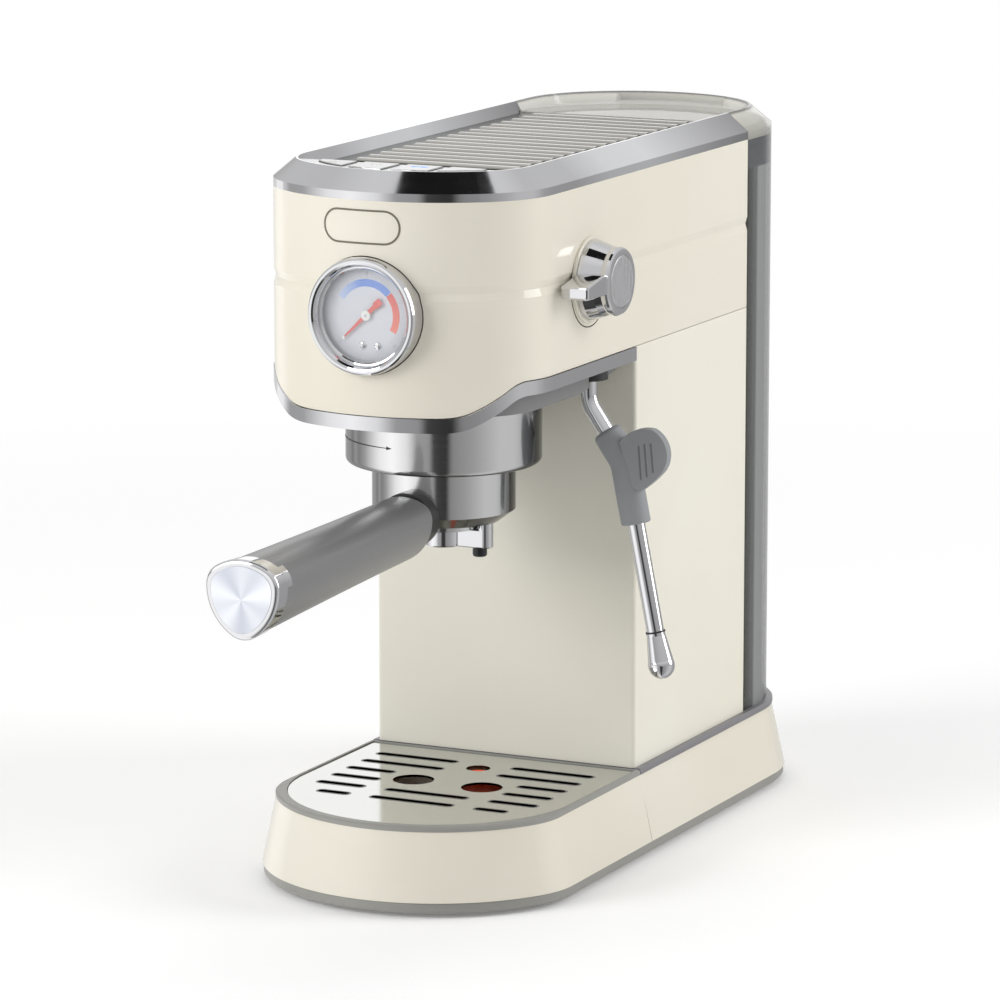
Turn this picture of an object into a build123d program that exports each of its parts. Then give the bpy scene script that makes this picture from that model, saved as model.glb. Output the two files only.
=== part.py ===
"""Pump espresso machine: slim column, round-nosed head, lift-out tank and drip tray.

Millimetres. X to the right, -Y to the front, Z up. The origin lies on the worktop,
in the middle plane, under the column's front face.
"""
from build123d import *
from dataclasses import dataclass
from math import cos, radians, sin
import os

os.makedirs("parts", exist_ok=True)

upward = (Align.CENTER, Align.CENTER, Align.MIN)      # a solid stands on its place
downward = (Align.CENTER, Align.CENTER, Align.MAX)    # a solid hangs from its place

# ---------------------------------------------------------------- driving sizes
# Clearances
seam = 0.3                  # gap between two fixed shells
run = 0.4                   # gap beside a piece that slides or lifts
fit = 0.05                  # radial gap of a shaft in its bore
wall = 2.5                  # moulded shells

# Plan shape
body_half_width = 62.5      # column, head and tank
column_depth = 121.0        # front face to the tank
head_reach = 134.0          # front face of the column to the tip of the head
tank_reach = 195.5          # front face of the column to the back of the tank
base_flare = 6.5            # how far the base spreads from its top to its foot
base_half_width = 71.5
base_reach_front = 142.0
base_reach_back = 204.0
grid_margin = 8.0           # side of the foot to the side of the grid
grid_half_width = base_half_width - grid_margin
grid_reach = base_reach_front - grid_margin - 2.2

# Heights above the worktop
foot_lift = 2.0             # worktop to the flat underside of the pan
pan_height = 4.5
base_top = 35.9
deck_height = 2.6
head_bottom = 225.0
chin_drop = 14.0            # how much lower the head reaches at its front
head_height = 75.5
bezel_band = 3.5            # upright part of the bezel
bevel_height = 8.0
rim_inset = 9.5             # how far the bevel leans in
chin_bottom = head_bottom - chin_drop
head_top = head_bottom + head_height
bevel_foot = head_top + bezel_band
rim_top = bevel_foot + bevel_height

# Head details
chin_back = 106.0           # where the lower edge starts to drop, from the column face
chin_front = 124.0
band_height = 6.3
band_proud = 0.4
groove_z = head_top - 37.8
groove_depth = 0.9
groove_half_height = 3.2
floor_thickness = 2.5

# Group and portafilter
group_y = -60.3
collar_radius = 41.9
collar_thickness = 3.2
collar_bottom = head_bottom - 45.0
holder_radius = 30.7
holder_rim = collar_bottom + 14.8
holder_taper_z = collar_bottom - 20.0
holder_foot_z = holder_taper_z - 4.8
holder_foot_radius = 24.5
holder_bottom = holder_foot_z - 3.5     # underside of the outlet boss
holder_bore = 28.4
lug_reach = 4.0
lug_height = 5.5
lug_angle = 34.0            # width of one lug, in degrees
unlock_angle = 50.0         # how far the holder turns to come out
basket_radius = 27.6
basket_depth = 23.0
basket_sheet = 0.8

# Handle
neck_z = holder_taper_z
handle_z = neck_z - 1.6     # middle of the grip where it leaves the holder
handle_start = 97.0
handle_end = 234.0
handle_drop = 3.6           # how much lower the far end lies
grip_size_near = 27.0
grip_size_far = 31.6
cap_length = 9.0
cap_size = 33.0

# Gauge
gauge_z = head_top - 47.8
gauge_y = -136.0
gauge_radius = 24.7
gauge_window = 19.0
gauge_depth = 24.0

# Steam knob and wand
knob_y = -48.0
knob_z = head_top - 40.2
knob_radius = 14.6
knob_rear_radius = 17.2
knob_ring_radius = 18.5
knob_stand = 15.0           # side of the head to the knob's face
lever_length = 33.0
wand_x = body_half_width - 11.5
wand_y = -24.0
tube_radius = 3.8
wand_ball_z = head_bottom - 8.0

# Drip tray
slot_width = 4.0
slot_pitch = 14.3
slot_first_y = -20.5
slot_outer_x = 52.2
slot_inner_x = 13.5
slot_short_inner_x = 30.0
slot_middle_half = 19.3
finger_hole_radius = 9.0
finger_hole_x = 16.4
finger_hole_y = -57.3
float_hole_radius = 5.3
float_hole_y = -26.8
float_radius = 18.0
float_wall = 1.6
grid_thickness = 1.0
grid_drop = 0.5             # grid below the top of its trim

# Cup tray and buttons
tray_floor_z = head_top + 5.0
tray_sheet = 1.5
slat_count = 17
slat_half_length = 38.0
slat_front_y = -64.0
slat_back_y = 110.0
slat_height = 1.3
slat_width = 4.2
panel_top = tray_floor_z + 5.3
panel_back_y = -97.0
button_pitch = 20.0
button_width = 16.0
button_length = 15.0
button_travel = 1.0
button_proud = 0.6

column_back = column_depth
deck_top = base_top + deck_height
trim_top = deck_top - 0.2
grid_top = trim_top - grid_drop
grid_bottom = grid_top - grid_thickness
pan_top = foot_lift + pan_height


# ---------------------------------------------------------------- plan outlines
@dataclass(frozen=True)
class RoundEnd:
    """A rounded end of three tangent arcs: a broad nose between two corner arcs."""
    half_width: float
    tip: float              # y of the furthest point
    nose_over: float        # nose radius less the half width
    depth_under: float      # half width less the length of the rounded part

    @property
    def way(self):
        return 1 if self.tip > 0 else -1

    @property
    def shoulder(self):
        return self.tip - self.way * (self.half_width - self.depth_under)

    @property
    def nose_radius(self):
        return self.half_width + self.nose_over

    @property
    def corner_radius(self):
        bite = self.nose_over + self.depth_under
        return self.half_width + self.nose_over / 2 - bite ** 2 / (2 * self.nose_over)


def outline(height, front, back, inset=0.0):
    """Plan face at a height. Each end is a RoundEnd, or the y of a flat end."""
    round_ends = [end for end in (front, back) if isinstance(end, RoundEnd)]
    half = round_ends[0].half_width - inset
    with BuildSketch(Plane.XY.offset(height)) as face:
        with BuildLine():
            for end in round_ends:
                nose_centre = Vector(0, end.tip - end.way * end.nose_radius)
                bend_centre = Vector(end.half_width - end.corner_radius, end.shoulder)
                toward = (bend_centre - nose_centre).normalized()
                join = nose_centre + toward * (end.nose_radius - inset)
                bend = TangentArc((half, end.shoulder), join, tangent=(0, end.way))
                TangentArc(join, (0, end.tip - end.way * inset), tangent=bend % 1)
            near = round_ends[0].shoulder
            far = round_ends[-1].shoulder
            if len(round_ends) == 1:
                far = near - round_ends[0].way * 6 * half
                Line((-half, far), (half, far))
            Line((half, near), (half, far))
            mirror(about=Plane.YZ)
        make_face()
        # a flat end cuts across the sides, or across the rounded end of a shallow piece
        if len(round_ends) == 1:
            flat = back if isinstance(front, RoundEnd) else front
            side = Align.MAX if isinstance(front, RoundEnd) else Align.MIN
            with Locations((0, flat)):
                Rectangle(3 * half, 8 * half, align=(Align.CENTER, side), mode=Mode.INTERSECT)
    return face.sketch


base_front = RoundEnd(base_half_width, -base_reach_front, 4.5, 12.8)
base_back = RoundEnd(base_half_width, base_reach_back, 2.5, 4.5)
head_front = RoundEnd(body_half_width, -head_reach, 13.5, 13.4)
tank_back = RoundEnd(body_half_width, tank_reach, 3.5, 4.1)
grid_front = RoundEnd(grid_half_width, -grid_reach, 2.4, 0.7)


def facing_front(y, z):
    """Upright plane that looks to the front, with its centre in the middle plane."""
    return Plane(origin=(0, y, z), x_dir=(1, 0, 0), z_dir=(0, -1, 0))


def save(piece, name):
    piece.part.label = name
    export_step(piece.part, f"parts/{name}.step")


# ---------------------------------------------------------------- base
foot_radius = 7.5
foot_socket = 1.5
foot_x = 58.0
foot_rows = (-92.0, -9.0, 133.0)
foot_places = [(side * (foot_x if y > -50 else foot_x - 4), y) for y in foot_rows for side in (-1, 1)]
pan_rim = 7.5
rib = 3.0

with BuildPart() as base_pan:
    extrude(outline(foot_lift, base_front, base_back, inset=0.6), amount=pan_height)
    chamfer(base_pan.edges().group_by(Axis.Z)[0], 1.0)
    # hollow from above, in front of and behind the bulkhead under the column's face
    pan_floor = foot_lift + wall
    extrude(outline(pan_floor, base_front, -rib, inset=pan_rim), amount=pan_height, mode=Mode.SUBTRACT)
    extrude(outline(pan_floor, rib, base_back, inset=pan_rim), amount=pan_height, mode=Mode.SUBTRACT)
    with BuildSketch(Plane.XY.offset(pan_floor)):
        for x in (-30, 0, 30):
            with Locations((x, 0)):
                Rectangle(rib, 2 * base_reach_front - 40)
    extrude(amount=pan_height - wall)
    with BuildSketch(Plane.XY.offset(foot_lift)):
        with Locations(*foot_places):
            Circle(foot_radius + seam)
    extrude(amount=foot_socket, mode=Mode.SUBTRACT)
save(base_pan, "base_pan")

with BuildPart() as feet:
    with Locations(*[(x, y, 0) for x, y in foot_places]):
        Cylinder(foot_radius, foot_lift + foot_socket, align=upward)
    chamfer(feet.edges().group_by(Axis.Z)[0], 0.8)
save(feet, "feet")

with BuildPart() as base_housing:
    shell_bottom = pan_top + seam
    loft([outline(shell_bottom, 0, base_back),
          outline(base_top, 0, base_back, inset=base_flare)], ruled=True)
    loft([outline(shell_bottom, wall, base_back, inset=wall),
          outline(base_top, wall, base_back, inset=base_flare + wall)], ruled=True, mode=Mode.SUBTRACT)
save(base_housing, "base_housing")

socket_y = 158.0
socket_radius = 15.0
hose_hole_y = 105.0
with BuildPart() as base_deck:
    extrude(outline(base_top, 0, base_back, inset=base_flare - 0.6), amount=deck_height)
    chamfer(base_deck.edges().group_by(Axis.Z)[-1], 0.8)
    with BuildSketch(Plane.XY.offset(base_top)):
        with Locations((0, hose_hole_y)):
            RectangleRounded(30, 16, 4)
        with Locations((0, socket_y)):
            Circle(socket_radius + seam)
    extrude(amount=deck_height, mode=Mode.SUBTRACT)
save(base_deck, "base_deck")

# ---------------------------------------------------------------- drip tray
tray_back = -0.6
tray_bottom = pan_top + seam
trim_bottom = base_top
spindle_radius = 1.6
spindle_height = 8.0
trim_inset = base_flare - 0.4
with BuildPart() as drip_tray:
    loft([outline(tray_bottom, base_front, tray_back),
          outline(trim_bottom, base_front, tray_back, inset=trim_inset)], ruled=True)
    loft([outline(tray_bottom + wall, base_front, tray_back - wall, inset=wall + 0.6),
          outline(trim_bottom, base_front, tray_back - wall, inset=trim_inset + wall)],
         ruled=True, mode=Mode.SUBTRACT)
    # spindle that guides the float
    with Locations((0, float_hole_y, tray_bottom + wall)):
        Cylinder(spindle_radius, spindle_height, align=upward)
save(drip_tray, "drip_tray")

ledge = 2.6                 # how far the trim reaches under the grid
grid_back = tray_back - 1.4
with BuildPart() as tray_trim:
    extrude(outline(trim_bottom, base_front, tray_back, inset=trim_inset - 0.2),
            amount=trim_top - trim_bottom)
    chamfer(tray_trim.edges().group_by(Axis.Z)[-1], 0.7)
    extrude(outline(grid_bottom, grid_front, grid_back, inset=-seam), amount=5, mode=Mode.SUBTRACT)
    extrude(outline(trim_bottom, grid_front, grid_back - ledge, inset=ledge), amount=9, mode=Mode.SUBTRACT)
save(tray_trim, "tray_trim")

with BuildPart() as drip_grid:
    extrude(outline(grid_bottom, grid_front, grid_back - seam), amount=grid_thickness)
    rows = [slot_first_y - slot_pitch * row for row in range(6)]
    with BuildSketch(Plane.XY.offset(grid_bottom)):
        for row, y in enumerate(rows):
            inner = slot_inner_x if row < 2 else slot_short_inner_x
            outer = slot_outer_x if row < 5 else slot_outer_x - 7.5
            for side in (-1, 1):
                with Locations((side * (inner + outer) / 2, y)):
                    SlotOverall(outer - inner, slot_width)
            if row > 3:
                with Locations((0, y)):
                    SlotOverall(2 * slot_middle_half, slot_width)
        with Locations((-finger_hole_x, finger_hole_y), (finger_hole_x, finger_hole_y)):
            Circle(finger_hole_radius)
        with Locations((0, float_hole_y)):
            Circle(float_hole_radius)
    extrude(amount=grid_thickness, mode=Mode.SUBTRACT)
save(drip_grid, "drip_grid")

float_travel = 5.0
float_base = tray_bottom + wall + seam
float_body_top = grid_bottom - float_travel - 0.8
float_top = grid_top - 1.6
guide_radius = spindle_radius + seam + float_wall
with BuildPart() as tray_float:
    with Locations((0, float_hole_y, float_base)):
        Cylinder(float_radius, float_body_top - float_base, align=upward)
    fillet(tray_float.edges().group_by(Axis.Z)[-1], 1.5)
    # open underneath, with a tube in the middle that runs on the spindle
    with Locations((0, float_hole_y, float_base)):
        Cylinder(float_radius - float_wall, float_body_top - float_base - float_wall, align=upward,
                 mode=Mode.SUBTRACT)
        Cylinder(guide_radius, float_body_top - float_base - float_wall, align=upward)
    with Locations((0, float_hole_y, float_body_top)):
        Cylinder(float_hole_radius - run, float_top - float_body_top, align=upward)
    fillet(tray_float.edges().group_by(Axis.Z)[-1], 1.2)
    with Locations((0, float_hole_y, float_base)):
        Cylinder(spindle_radius + seam, spindle_height + float_travel, align=upward, mode=Mode.SUBTRACT)
save(tray_float, "tray_float")

# ---------------------------------------------------------------- column
column_bottom = deck_top
column_middle = column_back / 2
column_height = head_bottom - seam - column_bottom
panel_front = column_back - 3.5
with BuildPart() as column_shell:
    with Locations((0, column_middle, column_bottom)):
        Box(2 * body_half_width, column_back, column_height, align=upward)
    fillet(column_shell.edges().filter_by(Axis.Z).group_by(Axis.Y)[0], 1.8)
    with Locations((0, column_middle + wall, column_bottom)):
        Box(2 * (body_half_width - wall), column_back, column_height, align=upward, mode=Mode.SUBTRACT)
save(column_shell, "column_shell")

with BuildPart() as rear_panel:
    with Locations((0, panel_front, column_bottom)):
        Box(2 * (body_half_width - wall - seam), 3, head_top - column_bottom - 1,
            align=(Align.CENTER, Align.MIN, Align.MIN))
save(rear_panel, "rear_panel")


# ---------------------------------------------------------------- head
def side_profile(lower):
    """Side view of all that lies above the head's lower edge, dropped by `lower`."""
    far = head_reach + 20
    with BuildSketch(Plane.YZ) as profile:
        with BuildLine():
            edge = FilletPolyline(
                (column_back + 10, head_bottom - lower),
                (-chin_back, head_bottom - lower),
                (-chin_front, chin_bottom - lower),
                (-far, chin_bottom - lower),
                radius=12,
            )
            Polyline(edge @ 1, (-far, rim_top), (column_back + 10, rim_top), edge @ 0)
        make_face()
    return profile.sketch


# shallow groove round the head, behind the gauge and the knob
groove_low = outline(groove_z - groove_half_height, head_front, column_back + 1)
groove_mid = outline(groove_z, head_front, column_back + 1, inset=groove_depth)
groove_high = outline(groove_z + groove_half_height, head_front, column_back + 1)
with BuildPart() as groove:
    extrude(outline(groove_z - groove_half_height, head_front, column_back, inset=-1),
            amount=2 * groove_half_height)
    loft([groove_low, groove_mid], ruled=True, mode=Mode.SUBTRACT)
    loft([groove_mid, groove_high], ruled=True, mode=Mode.SUBTRACT)

with BuildPart() as above_edge:
    extrude(side_profile(0), amount=body_half_width + 5, both=True)

with BuildPart() as head_shell:
    extrude(outline(chin_bottom, head_front, column_back), amount=head_top - chin_bottom)
    add(groove.part, mode=Mode.SUBTRACT)
    extrude(outline(chin_bottom, head_front, column_back + 1, inset=wall),
            amount=head_top - chin_bottom, mode=Mode.SUBTRACT)
    add(above_edge.part, mode=Mode.INTERSECT)
    # round hole for the gauge case, and one for the knob's spindle bush
    with Locations(Location((0, -head_reach, gauge_z), (90, 0, 0))):
        Cylinder(gauge_radius + seam, 40, mode=Mode.SUBTRACT)
    with Locations(Location((body_half_width, knob_y, knob_z), (0, 90, 0))):
        Cylinder(11, 12, mode=Mode.SUBTRACT)
save(head_shell, "head_shell")

with BuildPart() as band_strip:
    extrude(side_profile(band_height), amount=body_half_width + 5, both=True)
    extrude(side_profile(seam), amount=body_half_width + 6, both=True, mode=Mode.SUBTRACT)

band_depth = 3.0
with BuildPart() as head_band:
    lowest = chin_bottom - band_height
    extrude(outline(lowest - 2, head_front, -seam, inset=-band_proud), amount=30)
    extrude(outline(lowest - 2, head_front, 1, inset=band_depth), amount=30, mode=Mode.SUBTRACT)
    add(band_strip.part, mode=Mode.INTERSECT)
save(head_band, "head_band")

floor_bottom = head_bottom - band_height
floor_top = floor_bottom + floor_thickness
skirt_inset = 7.0
skirt_bottom = head_bottom - 15.0
skirt_back = -6.0
skirt_slope_y = -42.0       # from here back the skirt gets shallower
skirt_back_rise = 5.5
wand_window = 19.0          # gap in the skirt where the wand comes out
socket_outer = 8.4
with BuildPart() as head_floor:
    extrude(outline(floor_bottom, head_front, -seam, inset=band_depth + seam), amount=floor_thickness)
    # skirt that hangs inside the band
    skirt_height = floor_bottom - skirt_bottom
    extrude(outline(skirt_bottom, head_front, skirt_back, inset=skirt_inset), amount=skirt_height)
    extrude(outline(skirt_bottom, head_front, skirt_back - wall, inset=skirt_inset + wall),
            amount=skirt_height, mode=Mode.SUBTRACT)
    with BuildSketch(Plane.YZ):
        with BuildLine():
            Polyline((skirt_slope_y, skirt_bottom), (0, skirt_bottom + skirt_back_rise),
                     (0, skirt_bottom - 1), (skirt_slope_y, skirt_bottom - 1), close=True)
        make_face()
    extrude(amount=body_half_width, both=True, mode=Mode.SUBTRACT)
    with Locations((body_half_width, wand_y, floor_bottom)):
        Box(2 * (body_half_width - wand_x), wand_window, 2 * skirt_height,
            align=downward, mode=Mode.SUBTRACT)
    with Locations((0, group_y, floor_bottom)):
        Cylinder(collar_radius - collar_thickness + 0.4, 20, mode=Mode.SUBTRACT)
    with Locations((wand_x, wand_y, floor_bottom)):
        Cylinder(socket_outer + 0.2, 20, mode=Mode.SUBTRACT)
save(head_floor, "head_floor")

# ---------------------------------------------------------------- bezel, cup tray, buttons
inner_inset = rim_inset + 3.7
well_top_inset = rim_inset + 0.8
ledge_inset = inner_inset + 4    # edge of the opening under the tray


def well(front, back, grow=0.0):
    """Tapered hollow inside the leaning rim, from the tray's floor to above the rim."""
    sections = [outline(tray_floor_z, front, back, inset=inner_inset - grow),
                outline(rim_top + 0.4, front, back, inset=well_top_inset - grow)]
    return loft(sections, ruled=True, mode=Mode.PRIVATE)


with BuildPart() as top_bezel:
    extrude(outline(head_top, head_front, column_back), amount=bezel_band)
    loft([outline(bevel_foot, head_front, column_back),
          outline(rim_top, head_front, column_back, inset=rim_inset)], ruled=True)
    add(well(head_front, column_back + 1), mode=Mode.SUBTRACT)
    extrude(outline(head_top, head_front, column_back - wall, inset=wall),
            amount=tray_floor_z - head_top - wall, mode=Mode.SUBTRACT)
    extrude(outline(head_top, head_front, column_back - 12, inset=ledge_inset), amount=20,
            mode=Mode.SUBTRACT)
save(top_bezel, "top_bezel")

button_places = [(place - 1.5) * button_pitch for place in range(4)]
button_names = ("power_button", "one_cup_button", "two_cup_button", "steam_button")
button_front_inset = rim_inset + 9.0
stem_radius = 1.6
stem_y = panel_back_y - 5
leg_radius = 2.0
leg_x = 37.5
leg_y = panel_back_y
tray_top = tray_floor_z + tray_sheet
slat_pitch = (slat_back_y - slat_front_y) / (slat_count - 1)
crest = tray_top + slat_height
with BuildPart() as slat:
    with BuildSketch(Plane.YZ.offset(-slat_half_length)):
        with BuildLine():
            Polyline((-slat_width / 2, tray_top), (slat_width / 2, tray_top), (slat_width / 2 - 1.2, crest),
                     (-slat_width / 2 + 0.5, crest), close=True)
        make_face()
    extrude(amount=2 * slat_half_length)

with BuildPart() as cup_tray:
    extrude(outline(tray_floor_z, head_front, column_back, inset=inner_inset + seam), amount=tray_sheet)
    for number in range(slat_count):
        add(slat.part.moved(Location((0, slat_front_y + slat_pitch * number, 0))))
    with BuildSketch(Plane.XY.offset(tray_floor_z)):
        with Locations((0, (slat_front_y + slat_back_y) / 2 - slat_pitch / 2)):
            with GridLocations(0, slat_pitch, 1, slat_count):
                SlotOverall(2 * slat_half_length - 6, 2.4)
        with Locations(*[(x, stem_y) for x in button_places]):
            Circle(stem_radius + run)
        with Locations((-leg_x, leg_y), (leg_x, leg_y)):
            Circle(leg_radius + run)
    extrude(amount=tray_sheet, mode=Mode.SUBTRACT)
save(cup_tray, "cup_tray")


def button_face(x, grow):
    """Plan of one button; its front edge follows the nose of the head."""
    with BuildSketch(Plane.XY.offset(panel_top)) as face:
        add(outline(0, head_front, 0, inset=button_front_inset - grow))
        with Locations((x, panel_back_y + grow)):
            Rectangle(button_width + 2 * grow, head_reach, align=(Align.CENTER, Align.MAX),
                      mode=Mode.INTERSECT)
    return face.sketch


panel_floor = 1.0
switch_top = tray_floor_z - 2.3
switch_height = 3.4
board_thickness = 1.6
button_gap = 0.45
board_back_y = panel_back_y + 11.0
board_top = switch_top - switch_height
with BuildPart() as button_panel:
    with BuildSketch(Plane.XY.offset(tray_top)):
        add(outline(0, head_front, 0, inset=inner_inset - 2.0))
        with Locations((0, panel_back_y + 2.5)):
            Rectangle(2 * body_half_width, head_reach, align=(Align.CENTER, Align.MAX), mode=Mode.INTERSECT)
    extrude(amount=panel_top - tray_top)
    chamfer(button_panel.edges().group_by(Axis.Y)[-1].sort_by(Axis.Z)[-1], 1.5)
    add(well(head_front, column_back, grow=-seam), mode=Mode.INTERSECT)
    with Locations((-leg_x, leg_y, tray_top + 1), (leg_x, leg_y, tray_top + 1)):
        Cylinder(leg_radius, tray_top + 1 - board_top, align=downward)
    for x in button_places:
        extrude(button_face(x, button_gap), amount=tray_top + panel_floor - panel_top, mode=Mode.SUBTRACT)
    with BuildSketch(Plane.XY.offset(tray_top)):
        with Locations(*[(x, stem_y) for x in button_places]):
            Circle(stem_radius + run)
    extrude(amount=panel_floor, mode=Mode.SUBTRACT)
save(button_panel, "button_panel")

button_bottom = tray_top + panel_floor + button_travel + 0.15
for name, x in zip(button_names, button_places):
    with BuildPart() as button:
        extrude(button_face(x, 0.0), amount=-(panel_top - button_bottom))
        extrude(button_face(x, 0.0), amount=button_proud)
        fillet(button.edges().group_by(Axis.Z)[-1], 0.4)
        with Locations((x, stem_y, button_bottom)):
            Cylinder(stem_radius, button_bottom - switch_top - button_travel - 0.1,
                     align=downward)
    save(button, name)

with BuildPart() as button_board:
    with BuildSketch(Plane.XY.offset(board_top)):
        add(outline(0, head_front, 0, inset=ledge_inset + 0.6))
        with Locations((0, board_back_y)):
            Rectangle(2 * body_half_width, 21, align=(Align.CENTER, Align.MAX), mode=Mode.INTERSECT)
    extrude(amount=-board_thickness)
    with Locations(*[(x, stem_y, board_top) for x in button_places]):
        Box(6, 6, switch_height, align=upward)
save(button_board, "button_board")

# ---------------------------------------------------------------- gauge

def front_disc(y, turn=0.0):
    """Plane that looks to the front, with its centre on the gauge axis."""
    angle = radians(turn)
    return Plane(origin=(0, y, gauge_z), x_dir=(cos(angle), 0, sin(angle)), z_dir=(0, -1, 0))


case_radius = gauge_radius - 0.9
case_front = gauge_y + 2.5
skirt_back = gauge_y + 9
glass_front = gauge_y + 0.9
glass_thickness = 1.3
glass_radius = gauge_window + 1.2
with BuildPart() as gauge_case:
    with BuildSketch(front_disc(gauge_y + gauge_depth)):
        Circle(case_radius)
    extrude(amount=gauge_depth - 2.5)
    with BuildSketch(front_disc(gauge_y + gauge_depth - 1.5)):
        Circle(case_radius - 1.5)
    extrude(amount=gauge_depth, mode=Mode.SUBTRACT)
    with BuildSketch(front_disc(gauge_y + gauge_depth)):
        Circle(6)
    extrude(amount=-8)
save(gauge_case, "gauge_case")

with BuildPart() as gauge_bezel:
    with BuildSketch(Plane.YZ):
        with BuildLine():
            front = gauge_y - 2.5
            rim = gauge_z + gauge_radius
            window = gauge_z + gauge_window
            glass_seat = gauge_z + glass_radius + 0.1
            case_seat = gauge_z + case_radius + 0.1
            Polyline((front, rim - 3), (front + 2.2, window), (glass_front - 0.1, window),
                     (glass_front - 0.1, glass_seat), (case_front - 0.1, glass_seat),
                     (case_front - 0.1, case_seat), (skirt_back, case_seat),
                     (skirt_back, rim), (front + 3, rim))
            ThreePointArc((front + 3, rim), (front + 0.88, rim - 0.88), (front, rim - 3))
        make_face()
    revolve(axis=Axis((0, 0, gauge_z), (0, 1, 0)))
save(gauge_bezel, "gauge_bezel")

dial_y = gauge_y + 4.2
with BuildPart() as gauge_dial:
    with BuildSketch(front_disc(dial_y + 0.8)):
        Circle(case_radius - 1.7)
    extrude(amount=0.8)
    with BuildSketch(front_disc(dial_y + 0.8)):
        Circle(1.0)
    extrude(amount=0.8, mode=Mode.SUBTRACT)
    with BuildSketch(front_disc(dial_y)):
        with Locations((-2, -12.6), (5, -12.6)):
            Circle(1.4)
    extrude(amount=0.6)
save(gauge_dial, "gauge_dial")

needle_angle = 223.6        # rest direction, from +X towards +Z
needle_length = 14.6
needle_tail = 9.6
with BuildPart() as gauge_needle:
    with BuildSketch(front_disc(dial_y - 0.7, needle_angle)):
        with BuildLine():
            Polyline((needle_length, 0.35), (2, 1.1), (-2, 1.6), (-needle_tail, 1.9),
                     (-needle_tail, -1.9), (-2, -1.6), (2, -1.1), (needle_length, -0.35), close=True)
        make_face()
    extrude(amount=0.5)
    with BuildSketch(front_disc(dial_y - 0.5)):
        Circle(2.5)
    extrude(amount=1.1)
    with BuildSketch(front_disc(dial_y - 0.5)):
        Circle(1.0 - fit)
    extrude(amount=-4.5)
save(gauge_needle, "gauge_needle")

with BuildPart() as gauge_glass:
    with BuildSketch(front_disc(glass_front + glass_thickness)):
        Circle(glass_radius)
    extrude(amount=glass_thickness)
save(gauge_glass, "gauge_glass")

# ---------------------------------------------------------------- group
group_section = Plane.XZ.offset(-group_y)    # local X is the radius, local Y the height
group_axis = Axis((0, group_y, 0), (0, 0, 1))
ring_radius = collar_radius - collar_thickness - 0.2
lug_top = holder_rim - 1.0
lug_bottom = lug_top - lug_height
flange_top = lug_bottom - seam
flange_bottom = collar_bottom + 1.0
groove_radius = holder_radius + lug_reach + 0.8
groove_top = holder_rim + 1.4
gasket_radius = holder_radius + 0.8
gasket_height = 7.0
gasket_bottom = holder_rim + basket_sheet + seam
block_bottom = gasket_bottom + gasket_height
flange_height = 5.0
block_top = floor_top + flange_height


def sector(height, radius, middle, width):
    """Slice of a disc on the group axis, its middle turned from +X towards +Y."""
    reach = 3 * radius
    rays = [radians(middle + side * width / 2) for side in (-1, 1)]
    with BuildSketch(Plane.XY.offset(height)) as slice_face:
        with Locations((0, group_y)):
            Circle(radius)
        with BuildLine():
            corners = [(reach * cos(ray), group_y + reach * sin(ray)) for ray in rays]
            Polyline((0, group_y), *corners, close=True)
        make_face(mode=Mode.INTERSECT)
    return slice_face.sketch


with BuildPart() as group_collar:
    with BuildSketch(Plane.XY.offset(collar_bottom)):
        with Locations((0, group_y)):
            Circle(collar_radius)
            Circle(ring_radius + 0.2, mode=Mode.SUBTRACT)
    extrude(amount=floor_bottom - collar_bottom)
    fillet(group_collar.edges().group_by(Axis.Z)[0].sort_by(SortBy.RADIUS)[-1], 2.6)
save(group_collar, "group_collar")

with BuildPart() as group_head:
    with BuildSketch(group_section):
        with BuildLine():
            Polyline((holder_radius + 0.9, flange_bottom), (ring_radius, flange_bottom),
                     (ring_radius, floor_top), (collar_radius + 4, floor_top),
                     (collar_radius + 4, block_top), (2.5, block_top),
                     (2.5, block_bottom), (gasket_radius, block_bottom),
                     (gasket_radius, groove_top), (groove_radius, groove_top), (groove_radius, flange_top),
                     (holder_radius + 0.9, flange_top), close=True)
        make_face()
    revolve(axis=group_axis)
    # ways in for the holder's lugs
    for side in (0, 180):
        extrude(sector(flange_bottom, groove_radius, side - unlock_angle, lug_angle + 5),
                amount=flange_top - flange_bottom, mode=Mode.SUBTRACT)
save(group_head, "group_head")

with BuildPart() as group_gasket:
    with BuildSketch(Plane.XY.offset(gasket_bottom)):
        with Locations((0, group_y)):
            Circle(gasket_radius)
            Circle(basket_radius + 0.2, mode=Mode.SUBTRACT)
    extrude(amount=gasket_height)
save(group_gasket, "group_gasket")

screen_drop = 5.0
with BuildPart() as shower_screen:
    with BuildSketch(Plane.XY.offset(block_bottom - screen_drop)):
        with Locations((0, group_y)):
            Circle(basket_radius)
    extrude(amount=screen_drop)
    with BuildSketch(Plane.XY.offset(block_bottom - screen_drop + basket_sheet)):
        with Locations((0, group_y)):
            Circle(basket_radius - basket_sheet)
    extrude(amount=screen_drop, mode=Mode.SUBTRACT)
    with BuildSketch(Plane.XY.offset(block_bottom - screen_drop)):
        with Locations((0, group_y)):
            Circle(2.6)
            for ring, count in ((8, 8), (14, 14), (20, 20)):
                with PolarLocations(ring, count):
                    Circle(0.8)
    extrude(amount=basket_sheet, mode=Mode.SUBTRACT)
save(shower_screen, "shower_screen")

with BuildPart() as screen_screw:
    with Locations((0, group_y, block_bottom - screen_drop - 1.6)):
        Cylinder(4.5, 1.6, align=upward)
        Cylinder(2.4, screen_drop + 14, align=upward)
    with Locations((0, group_y, block_bottom - screen_drop - 1.6)):
        Box(9, 1.1, 0.8, align=upward, mode=Mode.SUBTRACT)
save(screen_screw, "screen_screw")

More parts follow.
